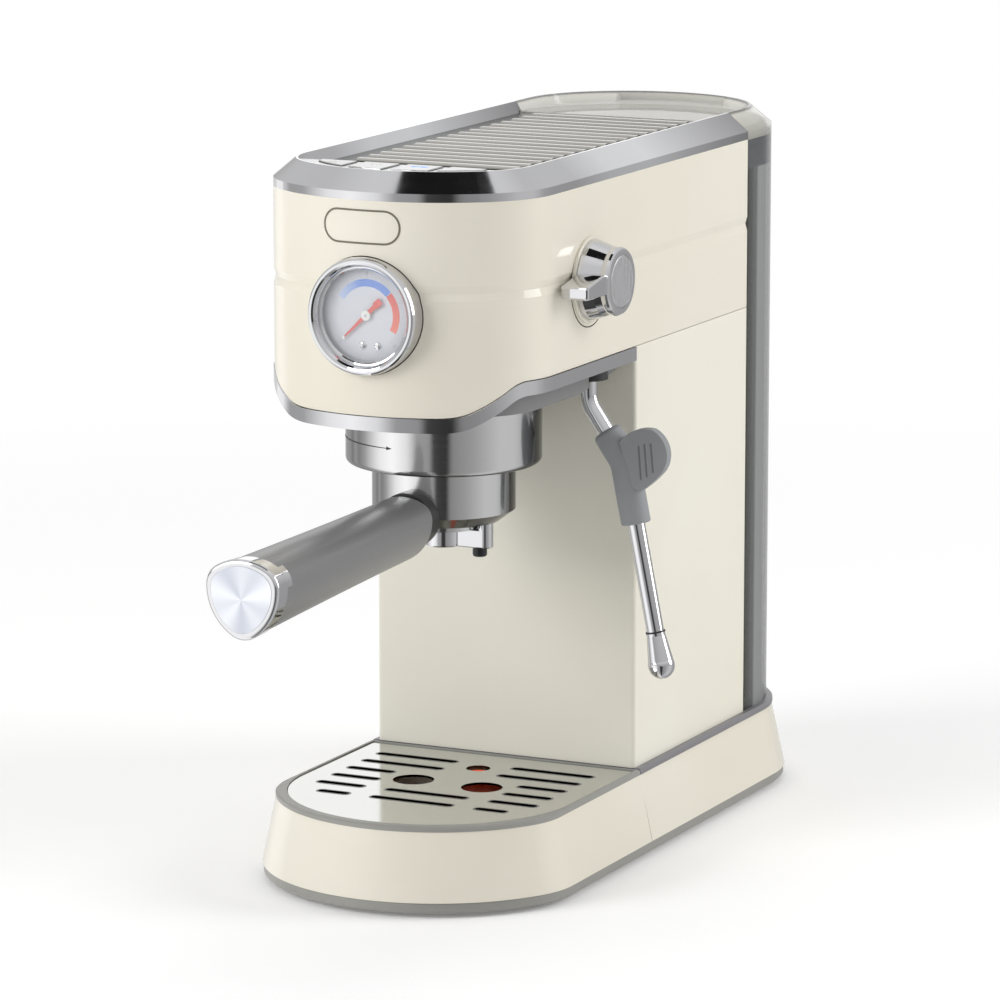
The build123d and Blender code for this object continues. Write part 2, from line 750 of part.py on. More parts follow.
# ---------------------------------------------------------------- portafilter
neck_radius = 12.0
boss_radius = 15.7
bowl_floor = holder_taper_z + 2.0
outlet_radius = 4.0
bolt_radius = 6.5           # stud that carries the handle
with BuildPart() as filter_holder:
    with BuildSketch(group_section):
        with BuildLine():
            Polyline((outlet_radius, holder_bottom), (boss_radius, holder_bottom),
                     (boss_radius, holder_foot_z), (holder_foot_radius, holder_foot_z),
                     (holder_radius, holder_taper_z),
                     (holder_radius, holder_rim), (holder_bore, holder_rim), (holder_bore, bowl_floor + 5),
                     (holder_bore - 4, bowl_floor + 1), (outlet_radius, bowl_floor), close=True)
        make_face()
    revolve(axis=group_axis)
    for side in (0, 180):
        extrude(sector(lug_bottom, holder_radius + lug_reach, side, lug_angle), amount=lug_height)
    with Locations((0, group_y, holder_rim)):
        Cylinder(holder_bore, holder_rim - bowl_floor - 6, align=downward,
                 mode=Mode.SUBTRACT)
    # stud that carries the handle
    with BuildSketch(facing_front(group_y - holder_bore - 0.8, neck_z)):
        Circle(bolt_radius)
    extrude(amount=handle_start + group_y - holder_bore + 6)
save(filter_holder, "filter_holder")

with BuildPart() as filter_basket:
    with BuildSketch(group_section):
        with BuildLine():
            sheet = basket_sheet
            bottom = holder_rim - basket_depth
            Polyline((0, bottom), (basket_radius - 1.5, bottom), (basket_radius, bottom + 1.5),
                     (basket_radius, holder_rim), (holder_radius - 0.3, holder_rim),
                     (holder_radius - 0.3, holder_rim + sheet), (basket_radius - sheet, holder_rim + sheet),
                     (basket_radius - sheet, bottom + 2), (basket_radius - 2, bottom + sheet),
                     (0, bottom + sheet), close=True)
        make_face()
    revolve(axis=group_axis)
save(filter_basket, "filter_basket")

spout_half = 19.5
bar_height = 7.6
spout_low = holder_bottom - seam - bar_height
spout_radius = 3.5
channel_radius = 1.7
tip_x = 17.0
with BuildPart() as spout:
    with BuildSketch(Plane.XY.offset(spout_low)):
        with Locations((0, group_y)):
            SlotCenterToCenter(2 * spout_half, 2 * spout_radius)
            Circle(9)
    extrude(amount=bar_height)
    chamfer(spout.edges().group_by(Axis.Z)[0], 0.6)
    with Locations((0, group_y, spout_low + 1)):
        Cylinder(9, holder_bottom - spout_low - 1, align=upward)
    with Locations(*[(side * spout_half, group_y, spout_low + 1) for side in (-1, 1)]):
        Cylinder(spout_radius, holder_foot_z - seam - spout_low - 1, align=upward)
    with Locations((0, group_y, spout_low + 1.4)):
        Cylinder(outlet_radius, 20, align=upward, mode=Mode.SUBTRACT)
    with Locations(*[(side * tip_x, group_y, spout_low) for side in (-1, 1)]):
        Cylinder(channel_radius, 3, align=upward, mode=Mode.SUBTRACT)
    with Locations((0, group_y, spout_low + 2.6)):
        Box(2 * tip_x, 2.6, 1.8, mode=Mode.SUBTRACT)
save(spout, "spout")

with BuildPart() as spout_tips:
    with Locations(*[(side * tip_x, group_y, spout_low) for side in (-1, 1)]):
        Cylinder(3.1, 3.9, align=downward)
    fillet(spout_tips.edges().group_by(Axis.Z)[0], 1.0)
    with Locations(*[(side * tip_x, group_y, spout_low) for side in (-1, 1)]):
        Cylinder(channel_radius, 3.9, align=downward, mode=Mode.SUBTRACT)
save(spout_tips, "spout_tips")

with BuildPart() as handle_neck:
    with BuildSketch(facing_front(group_y - 22, neck_z)):
        Circle(neck_radius)
        Circle(bolt_radius + fit, mode=Mode.SUBTRACT)
    extrude(amount=handle_start + group_y - 22)
    with Locations((0, group_y, neck_z)):
        Cylinder(holder_radius + 0.05, 60, mode=Mode.SUBTRACT)
save(handle_neck, "handle_neck")


def grip_section(y, z, size):
    """Rounded three-sided section of even width, one corner down, looking to the front."""
    corner = 0.29 * size
    spread = (size - 2 * corner) / 3 ** 0.5
    with BuildSketch(facing_front(y, z)) as section:
        with BuildLine():
            for place in range(3):
                turn = 120 * place - 90
                centre = Vector(spread, 0).rotate(Axis.Z, turn)
                CenterArc(centre, corner, turn - 30, 60)
                CenterArc(centre, size - corner, turn + 150, 60)
        make_face()
    return section.sketch


handle_end_z = handle_z - handle_drop
with BuildPart() as handle_grip:
    middle = (handle_start + handle_end) / 2
    loft([grip_section(-handle_start, handle_z, grip_size_near),
          grip_section(-middle, (handle_z + handle_end_z) / 2, (grip_size_near + grip_size_far) / 2 - 0.5),
          grip_section(-handle_end, handle_end_z, grip_size_far)])
    fillet(handle_grip.faces().sort_by(Axis.Y)[-1].edges(), 2.5)
    with BuildSketch(facing_front(-handle_start + 1, neck_z)):
        Circle(bolt_radius + fit)
    extrude(amount=8, mode=Mode.SUBTRACT)
save(handle_grip, "handle_grip")

cap_front = handle_end + cap_length
cap_back_size = grip_size_far + 0.9
tongue_length = 4.0
tongue_width = 9.0
with BuildPart() as cap_tongue:
    # lies on the ridge that points up and to the right
    extrude(grip_section(-handle_end, handle_end_z, cap_back_size), amount=-tongue_length)
    with Locations(Location((0, -handle_end, handle_end_z), (0, -30, 0))):
        Box(cap_size, 3 * tongue_length, tongue_width, align=(Align.MIN, Align.CENTER, Align.CENTER),
            mode=Mode.INTERSECT)
    add(handle_grip.part, mode=Mode.SUBTRACT)

with BuildPart() as handle_cap:
    loft([grip_section(-handle_end, handle_end_z, cap_back_size),
          grip_section(-cap_front, handle_end_z, cap_size)], ruled=True)
    fillet(handle_cap.faces().sort_by(Axis.Y)[0].edges(), 1.6)
    extrude(grip_section(-cap_front + 0.8, handle_end_z, cap_size - 5.6), amount=3, mode=Mode.SUBTRACT)
    add(cap_tongue.part)
save(handle_cap, "handle_cap")

with BuildPart() as handle_disc:
    extrude(grip_section(-cap_front + 0.8, handle_end_z, cap_size - 5.8), amount=0.9)
save(handle_disc, "handle_disc")

# ---------------------------------------------------------------- steam knob
knob_axis_plane = Plane(origin=(body_half_width, knob_y, knob_z), x_dir=(0, 1, 0), z_dir=(1, 0, 0))
spindle_radius = 3.5
ring_height = 1.4
with BuildPart() as knob_ring:
    with BuildSketch(knob_axis_plane):
        Circle(knob_ring_radius)
    extrude(amount=ring_height)
    fillet(knob_ring.edges().group_by(Axis.X)[-1], 0.9)
    with BuildSketch(knob_axis_plane):
        Circle(10.8)
    extrude(amount=-8)
    with BuildSketch(knob_axis_plane.offset(-8)):
        Circle(spindle_radius + fit)
    extrude(amount=12, mode=Mode.SUBTRACT)
save(knob_ring, "knob_ring")

disc_thickness = 4.0
lever_height = 5.6
lever_low = knob_z - 3.9
with BuildPart() as steam_knob:
    with BuildSketch(knob_axis_plane.offset(ring_height + run)):
        Circle(knob_rear_radius)
    with BuildSketch(knob_axis_plane.offset(knob_stand - disc_thickness)):
        Circle(knob_radius - 0.6)
    loft()
    with BuildSketch(knob_axis_plane.offset(knob_stand - disc_thickness)):
        Circle(knob_radius)
    extrude(amount=disc_thickness)
    fillet(steam_knob.edges().group_by(Axis.X)[-1], 1.4)
    # finger hollows above and below the lever
    with BuildSketch(knob_axis_plane.offset(4.5)):
        for z in (-9.6, 6.4):
            with Locations((-knob_radius, z)):
                RectangleRounded(13, 7, 1.5)
    extrude(amount=knob_stand - disc_thickness - 4.5, mode=Mode.SUBTRACT)
    lever_back = knob_y - 6
    with Locations((body_half_width + ring_height + run, lever_back, lever_low)):
        Box(knob_stand - ring_height - run - 0.6, lever_length + knob_y - lever_back, lever_height,
            align=(Align.MIN, Align.MAX, Align.MIN))
    lever_tip = steam_knob.faces().sort_by(Axis.Y)[0]
    fillet(lever_tip.edges(), 0.9)
    with BuildSketch(knob_axis_plane.offset(knob_stand - 0.7)):
        Circle(11.2)
    extrude(amount=2, mode=Mode.SUBTRACT)
    with BuildSketch(knob_axis_plane.offset(ring_height + run)):
        Circle(spindle_radius)
    extrude(amount=-24)
save(steam_knob, "steam_knob")

with BuildPart() as knob_cap:
    with BuildSketch(knob_axis_plane.offset(knob_stand - 0.7)):
        Circle(11.1)
    extrude(amount=0.8)
    chamfer(knob_cap.edges().group_by(Axis.X)[-1], 0.3)
save(knob_cap, "knob_cap")

with BuildPart() as steam_valve:
    with BuildSketch(knob_axis_plane.offset(-8.2)):
        Circle(8)
    extrude(amount=-18)
    with BuildSketch(knob_axis_plane.offset(-8.2)):
        Circle(spindle_radius + fit)
    extrude(amount=-15.5, mode=Mode.SUBTRACT)
    with Locations((body_half_width - 20, knob_y, knob_z - 6)):
        Cylinder(3, 10, align=downward)
save(steam_valve, "steam_valve")

# ---------------------------------------------------------------- steam wand
ball_radius = 6.6
pin_radius = 1.2
wand_plane = Plane.XZ.offset(-wand_y)        # local X is X, local Y is Z
ball_centre = (wand_x, wand_y, wand_ball_z)
socket_drop = 3.5           # how far the socket's lip reaches below the ball's middle
socket_top = wand_ball_z + ball_radius + wall
bracket_length = 30.0
bracket_height = 2.0
with BuildPart() as wand_socket:
    with Locations((wand_x, wand_y, wand_ball_z - socket_drop)):
        Cylinder(socket_outer, socket_top - wand_ball_z + socket_drop, align=upward)
    with Locations((wand_x, wand_y, floor_top)):
        Box(2 * socket_outer, bracket_length, bracket_height, align=upward)
    with Locations(ball_centre):
        Sphere(ball_radius + seam, mode=Mode.SUBTRACT)
save(wand_socket, "wand_socket")

with BuildPart() as wand_ball:
    with Locations(ball_centre):
        Sphere(ball_radius)
    with Locations((wand_x, wand_y, wand_ball_z + tube_radius + seam)):
        Box(2 * ball_radius, 2 * (tube_radius + seam), 3 * ball_radius,
            align=downward, mode=Mode.SUBTRACT)
    with Locations(Location(ball_centre, (90, 0, 0))):
        Cylinder(pin_radius, 2 * ball_radius - 1.5)
save(wand_ball, "wand_ball")

sleeve_top_z = wand_ball_z - 25.5
sleeve_end_z = wand_ball_z - 64.5
sleeve_radius = 6.4
ring_z = wand_ball_z - 111.0
tip_z = ring_z - 20.0
tip_radius = 5.5
lean = 0.2                  # sideways run of the straight tube for each millimetre down
elbow_high = Vector(wand_x, wand_y, wand_ball_z - 13.5)
tube_shift = 17.4           # how far the bends carry the tube outwards
elbow_low = Vector(wand_x + tube_shift, wand_y, wand_ball_z - 38.4)
tube_end = Vector(elbow_low.X + lean * (elbow_low.Z - ring_z), wand_y, ring_z)
down_tube = Vector(lean, 0, -1).normalized()
bend_radius = 14.0


def smooth_path(points, radius):
    """Line of straight runs with rounded bends."""
    with BuildLine() as path:
        FilletPolyline(*points, radius=radius)
    return path.wire()


def disc_at(path, radius):
    """Disc across the start of a path."""
    with BuildSketch(Plane(origin=path @ 0, z_dir=path % 0)) as disc:
        Circle(radius)
    return disc.sketch


tube_path = smooth_path([ball_centre, elbow_high, elbow_low, tube_end], bend_radius)
with BuildPart() as steam_tube:
    sweep(disc_at(tube_path, tube_radius), path=tube_path)
    with Locations(ball_centre):
        Sphere(tube_radius)
    with Locations(Location(ball_centre, (90, 0, 0))):
        Cylinder(pin_radius + fit, 20, mode=Mode.SUBTRACT)
save(steam_tube, "steam_tube")

slope_high = (elbow_low - elbow_high).normalized()
sleeve_start = elbow_high + slope_high * ((sleeve_top_z - elbow_high.Z) / slope_high.Z)
sleeve_end = elbow_low + down_tube * ((sleeve_end_z - elbow_low.Z) / down_tube.Z)
paddle_thickness = 4.6
paddle_front = wand_y - 5.4
sleeve_path = smooth_path([sleeve_start, elbow_low, sleeve_end], bend_radius)
with BuildPart() as wand_sleeve:
    sweep(disc_at(sleeve_path, sleeve_radius), path=sleeve_path)
    fillet(wand_sleeve.edges().filter_by(GeomType.CIRCLE).sort_by(Axis.Z)[-1], 2.0)
    fillet(wand_sleeve.edges().filter_by(GeomType.CIRCLE).sort_by(Axis.Z)[0], 0.8)
    # rounded thumb plate on the front of the sleeve, about the tube's lower bend
    plate_plane = Plane(origin=(elbow_low.X, paddle_front, elbow_low.Z), x_dir=(1, 0, 0), z_dir=(0, -1, 0))
    with BuildSketch(plate_plane):
        with BuildLine():
            ThreePointArc((-0.4, 9.5), (6.0, 14.8), (14.7, 15.9))
            ThreePointArc((14.7, 15.9), (21.5, 7.4), (18.3, -3.4))
            ThreePointArc((18.3, -3.4), (14.2, -7.4), (9.4, -11.1))
            Polyline((9.4, -11.1), (6.0, -10.0), (-0.4, 9.5))
        make_face()
    extrude(amount=-paddle_thickness)
    sweep(disc_at(sleeve_path, tube_radius + 0.05), path=sleeve_path, mode=Mode.SUBTRACT)
save(wand_sleeve, "wand_sleeve")

tip_length = (ring_z - tip_z) / -down_tube.Z
tip_plane = Plane(origin=tube_end, x_dir=(0, 1, 0), z_dir=down_tube)
with BuildPart() as wand_tip:
    # section beside the tube's axis: local Y runs back up the tube
    with BuildSketch(Plane(origin=tube_end, x_dir=(0, 1, 0), z_dir=tip_plane.y_dir)):
        with BuildLine():
            widest = -0.62 * tip_length
            Polyline((0, -tip_length), (0, 0), (tube_radius + 0.3, 0), (tube_radius + 0.3, -1.6),
                     (tip_radius, widest))
            ThreePointArc((tip_radius, widest), (tip_radius - 1.0, -0.9 * tip_length), (1.8, -tip_length))
            Line((1.8, -tip_length), (0, -tip_length))
        make_face()
    revolve(axis=Axis(tip_plane.origin, tip_plane.z_dir))
    with BuildSketch(tip_plane.offset(tip_length)):
        Circle(1.0)
    extrude(amount=-12, mode=Mode.SUBTRACT)
save(wand_tip, "wand_tip")

# ---------------------------------------------------------------- water tank
tank_front = column_back + seam
tank_wall = 2.2
tank_floor = 2.5
tank_bottom = deck_top
tank_top = head_top - 0.3
outlet_outer = 11.5
outlet_drop = 6.0
valve_hole = 5.0
with BuildPart() as water_tank:
    extrude(outline(tank_bottom, tank_front, tank_back), amount=tank_top - tank_bottom)
    fillet(water_tank.edges().filter_by(Axis.Z).group_by(Axis.Y)[0], 1.5)
    extrude(outline(tank_bottom + tank_floor, tank_front + tank_wall, tank_back, inset=tank_wall),
            amount=tank_top - tank_bottom, mode=Mode.SUBTRACT)
    with Locations((0, socket_y, tank_bottom)):
        Cylinder(outlet_outer, outlet_drop, align=downward)
    with Locations((0, socket_y, tank_bottom)):
        Cylinder(outlet_outer - 2, outlet_drop, align=downward, mode=Mode.SUBTRACT)
    with Locations((0, socket_y, tank_bottom)):
        Cylinder(valve_hole, 20, mode=Mode.SUBTRACT)
save(water_tank, "water_tank")

lid_floor_z = tray_floor_z + 2.0
lid_lip = 6.0
lid_hollow = lid_floor_z - 2.5 - tank_top
notch_half = 27.0
notch_wall = 2.4
with BuildPart() as lid_well:
    loft([outline(lid_floor_z, tank_front - 1, tank_back, inset=inner_inset),
          outline(rim_top + 0.4, tank_front - 1, tank_back, inset=well_top_inset)], ruled=True)

with BuildPart() as lid_notch:
    # finger hollow in the back of the rim, behind which only the outer wall stays
    notch_inset = notch_wall + rim_inset * (lid_floor_z - bevel_foot) / bevel_height
    loft([outline(lid_floor_z, tank_front, tank_back, inset=notch_inset),
          outline(rim_top, tank_front, tank_back, inset=rim_inset + 0.7)], ruled=True)
    with Locations((0, socket_y, lid_floor_z)):
        Box(2 * notch_half, tank_reach, 40, align=(Align.CENTER, Align.MIN, Align.CENTER),
            mode=Mode.INTERSECT)

with BuildPart() as tank_lid:
    extrude(outline(tank_top, tank_front, tank_back), amount=bevel_foot - tank_top)
    loft([outline(bevel_foot, tank_front, tank_back),
          outline(rim_top, tank_front, tank_back, inset=rim_inset)], ruled=True)
    extrude(outline(tank_top, tank_front + tank_wall, tank_back, inset=tank_wall), amount=lid_hollow,
            mode=Mode.SUBTRACT)
    add(lid_well.part, mode=Mode.SUBTRACT)
    add(lid_notch.part, mode=Mode.SUBTRACT)
    lip_front = tank_front + tank_wall + run
    extrude(outline(tank_top - lid_lip, lip_front, tank_back, inset=tank_wall + run),
            amount=lid_lip + lid_hollow)
    extrude(outline(tank_top - lid_lip, lip_front + tank_wall, tank_back, inset=2 * tank_wall + run),
            amount=lid_lip + lid_hollow, mode=Mode.SUBTRACT)
save(tank_lid, "tank_lid")

plunger_travel = 2.8
plunger_bottom = tank_bottom + tank_floor + plunger_travel + 0.2
stem_length = 8.5
with BuildPart() as tank_valve:
    with Locations((0, socket_y, plunger_bottom)):
        Cylinder(7.5, 2.5, align=upward)
        Cylinder(2.0, 10, align=upward)
        Cylinder(2.6, stem_length, align=downward)
save(tank_valve, "tank_valve")

socket_bottom = deck_top - 11.5
valve_stem_bottom = plunger_bottom - stem_length
hose_z = socket_bottom + 4
with BuildPart() as tank_socket:
    with Locations((0, socket_y, socket_bottom)):
        Cylinder(socket_radius, deck_top - socket_bottom, align=upward)
    with Locations((0, socket_y, deck_top)):
        Cylinder(outlet_outer + run, outlet_drop + 0.6, align=downward,
                 mode=Mode.SUBTRACT)
    with Locations((0, socket_y, socket_bottom + 2)):
        Cylinder(5, 20, align=upward, mode=Mode.SUBTRACT)
    with Locations((0, socket_y, socket_bottom + 1)):
        Cylinder(1.5, valve_stem_bottom - socket_bottom - 1.1, align=upward)
    with Locations(Location((0, socket_y - socket_radius + 0.5, hose_z), (90, 0, 0))):
        Cylinder(3.5, 8, align=upward)
        Cylinder(1.8, 16, mode=Mode.SUBTRACT)
save(tank_socket, "tank_socket")

# ---------------------------------------------------------------- inside the column and head
boiler_radius = body_half_width - 29.5
boiler_top = head_top - 20.3
outlet_y = group_y + 14.0
outlet_length = 7.0
hose_radius = 3.2
with BuildPart() as boiler:
    with Locations((0, group_y, block_top)):
        Cylinder(boiler_radius + 6, 4, align=upward)
        Cylinder(boiler_radius, boiler_top - block_top, align=upward)
    fillet(boiler.edges().group_by(Axis.Z)[-1], 8)
    with Locations((0, outlet_y, boiler_top)):
        Cylinder(hose_radius, outlet_length, align=upward)
save(boiler, "boiler")

cradle_left = wall + 6.0 - body_half_width
cradle_width = 60.0
cradle_depth = 56.0
pump_x = cradle_left + 34.0
pump_y = 62.0
pump_radius = 11.0
pump_bottom = deck_top + 21.5       # lower end of the inlet
pump_length = 120.0
grommet_outer = 15.0
shelf_rise = 24.0           # lower end of the inlet to the lower shelf
shelf_gap = 66.0
shelf_heights = (pump_bottom + shelf_rise, pump_bottom + shelf_rise + shelf_gap)
with BuildPart() as pump:
    with Locations((pump_x, pump_y, pump_bottom)):
        Cylinder(hose_radius, pump_length, align=upward)
    with Locations((pump_x, pump_y, pump_bottom + 12)):
        Cylinder(pump_radius, pump_length - 28, align=upward)
    with Locations((pump_x, pump_y, (shelf_heights[0] + shelf_heights[1]) / 2)):
        Box(40, 44, 50)
save(pump, "pump")

with BuildPart() as pump_mounts:
    with Locations(*[(pump_x, pump_y, z - 1.5) for z in shelf_heights]):
        Cylinder(grommet_outer + 3, 5.5, align=upward)
    with BuildSketch(Plane.XY.offset(pump_bottom)):
        with Locations((pump_x, pump_y)):
            Circle(pump_radius + fit)
    extrude(amount=pump_length, mode=Mode.SUBTRACT)
    for z in shelf_heights:
        with BuildSketch(Plane.XY.offset(z)):
            with Locations((pump_x, pump_y)):
                Circle(grommet_outer + 4)
                Circle(grommet_outer, mode=Mode.SUBTRACT)
        extrude(amount=wall, mode=Mode.SUBTRACT)
save(pump_mounts, "pump_mounts")

with BuildPart() as pump_cradle:
    with Locations((cradle_left, pump_y, deck_top)):
        Box(cradle_width, cradle_depth, wall, align=(Align.MIN, Align.CENTER, Align.MIN))
        Box(wall, cradle_depth, shelf_heights[1] + wall - deck_top,
            align=(Align.MIN, Align.CENTER, Align.MIN))
    with Locations(*[(cradle_left, pump_y, z) for z in shelf_heights]):
        Box(cradle_width, cradle_depth, wall, align=(Align.MIN, Align.CENTER, Align.MIN))
    with BuildSketch(Plane.XY.offset(shelf_heights[0])):
        with Locations((pump_x, pump_y)):
            Circle(grommet_outer)
    extrude(amount=pump_length, mode=Mode.SUBTRACT)
save(pump_cradle, "pump_cradle")

post_height = 8.0
board_width = 76.0
board_x = body_half_width - wall - 6.0 - board_width / 2
board_height = 62.0
board_rise = 141.5          # deck to the middle of the board
board_z = deck_top + board_rise
board_y = panel_front - post_height
with BuildPart() as control_board:
    with Locations((board_x, board_y, board_z)):
        Box(board_width, board_thickness, board_height, align=(Align.CENTER, Align.MAX, Align.CENTER))
    with Locations((board_x - 14, board_y - board_thickness, board_z + 10),
                   (board_x + 18, board_y - board_thickness, board_z - 12)):
        Box(22, 16, 20, align=(Align.CENTER, Align.MAX, Align.CENTER))
    for x in (board_x - 34, board_x + 34):
        for z in (board_z - 27, board_z + 27):
            with Locations(Location((x, panel_front, z), (90, 0, 0))):
                Cylinder(2.5, post_height, align=upward)
save(control_board, "control_board")


def hose(points, radius):
    """Round hose along a line of straight runs with rounded bends."""
    path = smooth_path(points, radius)
    with BuildPart() as piece:
        sweep(disc_at(path, hose_radius), path=path)
    return piece


suction_hose = hose([
    (0, socket_y - socket_radius - 7.6, hose_z),
    (0, hose_hole_y, hose_z),
    (0, hose_hole_y, pump_bottom - 10),
    (pump_x, pump_y, pump_bottom - 10),
    (pump_x, pump_y, pump_bottom),
], 7)
save(suction_hose, "suction_hose")

hose_top = head_top - 8.5
pressure_hose = hose([
    (pump_x, pump_y, pump_bottom + pump_length),
    (pump_x, pump_y, hose_top),
    (pump_x, outlet_y, hose_top),
    (0, outlet_y, hose_top),
    (0, outlet_y, boiler_top + outlet_length),
], 3.6)
save(pressure_hose, "pressure_hose")

gland_x = -42.0
gland_z = 22.0
gland_front = base_reach_back - 12.0
with BuildPart() as cord_gland:
    with Locations(Location((gland_x, gland_front, gland_z), (-90, 0, 0))):
        Cylinder(6.0, 9, align=upward)
        Cylinder(4.0, 30, mode=Mode.SUBTRACT)
save(cord_gland, "cord_gland")
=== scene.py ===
import math

import bmesh
import bpy
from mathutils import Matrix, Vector


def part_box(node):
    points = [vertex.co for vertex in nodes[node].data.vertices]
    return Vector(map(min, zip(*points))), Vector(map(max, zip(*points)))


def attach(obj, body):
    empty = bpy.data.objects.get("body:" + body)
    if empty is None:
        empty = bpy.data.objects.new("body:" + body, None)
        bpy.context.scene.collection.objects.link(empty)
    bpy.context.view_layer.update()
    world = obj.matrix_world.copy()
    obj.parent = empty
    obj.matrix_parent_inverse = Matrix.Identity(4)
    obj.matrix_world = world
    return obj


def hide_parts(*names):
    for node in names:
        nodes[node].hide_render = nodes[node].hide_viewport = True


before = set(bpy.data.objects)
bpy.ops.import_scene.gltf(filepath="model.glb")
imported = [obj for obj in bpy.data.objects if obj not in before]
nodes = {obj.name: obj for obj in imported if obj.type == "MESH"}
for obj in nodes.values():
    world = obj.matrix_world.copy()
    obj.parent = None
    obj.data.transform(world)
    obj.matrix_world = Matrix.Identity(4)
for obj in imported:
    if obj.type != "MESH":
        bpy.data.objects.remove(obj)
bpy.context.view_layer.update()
print("frame loaded with", len(nodes), "nodes")


# Small helpers for colours, places and shader nodes

def srgb(red, green, blue):
    # a colour as it is written, turned into the linear one that a shader takes
    values = []
    for channel in (red, green, blue):
        c = channel / 255
        values.append(c / 12.92 if c <= 0.04045 else ((c + 0.055) / 1.055) ** 2.4)
    return (*values, 1.0)


def middleOf(low, high):
    return [(a + b) / 2 for a, b in zip(low, high)]


lacquer = {"ior": 1.5, "coatRoughness": 0.04}


def newFinish(name, colour, roughness, metallic=0.0, coat=0.0):
    mat = bpy.data.materials.new(name)
    mat.use_nodes = True
    shader = mat.node_tree.nodes["Principled BSDF"]
    shader.inputs["Base Color"].default_value = colour
    shader.inputs["Roughness"].default_value = roughness
    shader.inputs["Metallic"].default_value = metallic
    shader.inputs["Coat Weight"].default_value = coat
    shader.inputs["Coat Roughness"].default_value = lacquer["coatRoughness"]
    shader.inputs["IOR"].default_value = lacquer["ior"]
    return mat, mat.node_tree, shader


def objectPlace(tree, scale=(1, 1, 1)):
    # place on the machine in metres, stretched by scale
    place = tree.nodes.new("ShaderNodeTexCoord")
    stretch = tree.nodes.new("ShaderNodeMapping")
    stretch.inputs["Scale"].default_value = scale
    tree.links.new(place.outputs["Object"], stretch.inputs["Vector"])
    return stretch.outputs["Vector"]


def noiseAt(tree, vector, scale, detail):
    noise = tree.nodes.new("ShaderNodeTexNoise")
    noise.inputs["Scale"].default_value = scale
    noise.inputs["Detail"].default_value = detail
    tree.links.new(vector, noise.inputs["Vector"])
    return noise.outputs["Fac"]


def mapped(tree, value, low, high, fromLow=0.0, fromHigh=1.0):
    step = tree.nodes.new("ShaderNodeMapRange")
    step.inputs["From Min"].default_value = fromLow
    step.inputs["From Max"].default_value = fromHigh
    step.inputs["To Min"].default_value = low
    step.inputs["To Max"].default_value = high
    tree.links.new(value, step.inputs["Value"])
    return step.outputs["Result"]


def shareOf(tree, value, limits):
    # 0 up to the first limit, 1 from the second on
    return mapped(tree, value, 0.0, 1.0, *limits)


def sums(tree, operation, *values):
    node = tree.nodes.new("ShaderNodeMath")
    node.operation = operation
    for socket, value in zip(node.inputs, values):
        if isinstance(value, (int, float)):
            socket.default_value = value
        else:
            tree.links.new(value, socket)
    return node.outputs["Value"]


def mixed(tree, factor, first, second):
    # first where the factor is 0, second where it is 1
    gap = sums(tree, "SUBTRACT", second, first)
    return sums(tree, "ADD", first, sums(tree, "MULTIPLY", gap, factor))


def reachOf(tree, first, second):
    # length of the slope over two distances
    squares = [sums(tree, "MULTIPLY", value, value) for value in (first, second)]
    return sums(tree, "SQRT", sums(tree, "ADD", *squares))


def parts(tree, vector):
    split = tree.nodes.new("ShaderNodeSeparateXYZ")
    tree.links.new(vector, split.inputs["Vector"])
    return split.outputs["X"], split.outputs["Y"], split.outputs["Z"]


def fromMiddle(tree, low, high):
    # distances across and up from the middle of a box
    x, _, z = parts(tree, objectPlace(tree))
    middle = middleOf(low, high)
    return sums(tree, "SUBTRACT", x, middle[0]), sums(tree, "SUBTRACT", z, middle[2])


def bumpFrom(tree, shader, height, strength, depth):
    bump = tree.nodes.new("ShaderNodeBump")
    bump.inputs["Strength"].default_value = strength
    bump.inputs["Distance"].default_value = depth
    tree.links.new(height, bump.inputs["Height"])
    tree.links.new(bump.outputs["Normal"], shader.inputs["Normal"])


def blended(tree, factor, first, second):
    mix = tree.nodes.new("ShaderNodeMix")
    mix.data_type = "RGBA"
    for socket, colour in (("A", first), ("B", second)):
        target = [s for s in mix.inputs if s.name == socket and s.type == "RGBA"][0]
        if isinstance(colour, tuple):
            target.default_value = colour
        else:
            tree.links.new(colour, target)
    tree.links.new(factor, mix.inputs["Factor"])
    return [s for s in mix.outputs if s.type == "RGBA"][0]


def colourRamp(tree, value, stops):
    node = tree.nodes.new("ShaderNodeValToRGB")
    line = node.color_ramp
    while len(line.elements) < len(stops):
        line.elements.new(0.5)
    for element, (place, colour) in zip(line.elements, stops):
        element.position = place
        element.color = colour
    tree.links.new(value, node.inputs["Fac"])
    return node.outputs["Color"]


def bandTint(tree, values):
    # colours that follow each other along one axis of a node's box
    low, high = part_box(values["node"])
    axis = values["axis"]
    where = parts(tree, objectPlace(tree))[axis]
    stops = [(place, srgb(*colour)) for place, colour in values["bands"]]
    return colourRamp(tree, shareOf(tree, where, (low[axis], high[axis])), stops)


# Painted cream shells: a slow cloud in the tint, and the fine skin of sprayed paint.
# Each bump here and below gives its strength and depth.

enamels = {
    "enamel": {"colour": srgb(236, 231, 217), "shade": srgb(233, 227, 211),
               "roughness": 0.3, "coat": 0.6},
    "columnEnamel": {"colour": srgb(234, 231, 219), "shade": srgb(232, 228, 214),
                     "roughness": 0.5, "coat": 0.0},
}
paint = {"specular": 0.2, "cloud": 9.0, "cloudLimits": (0.35, 0.65), "skin": 700.0,
         "detail": 2.0, "bump": (0.02, 0.0002)}


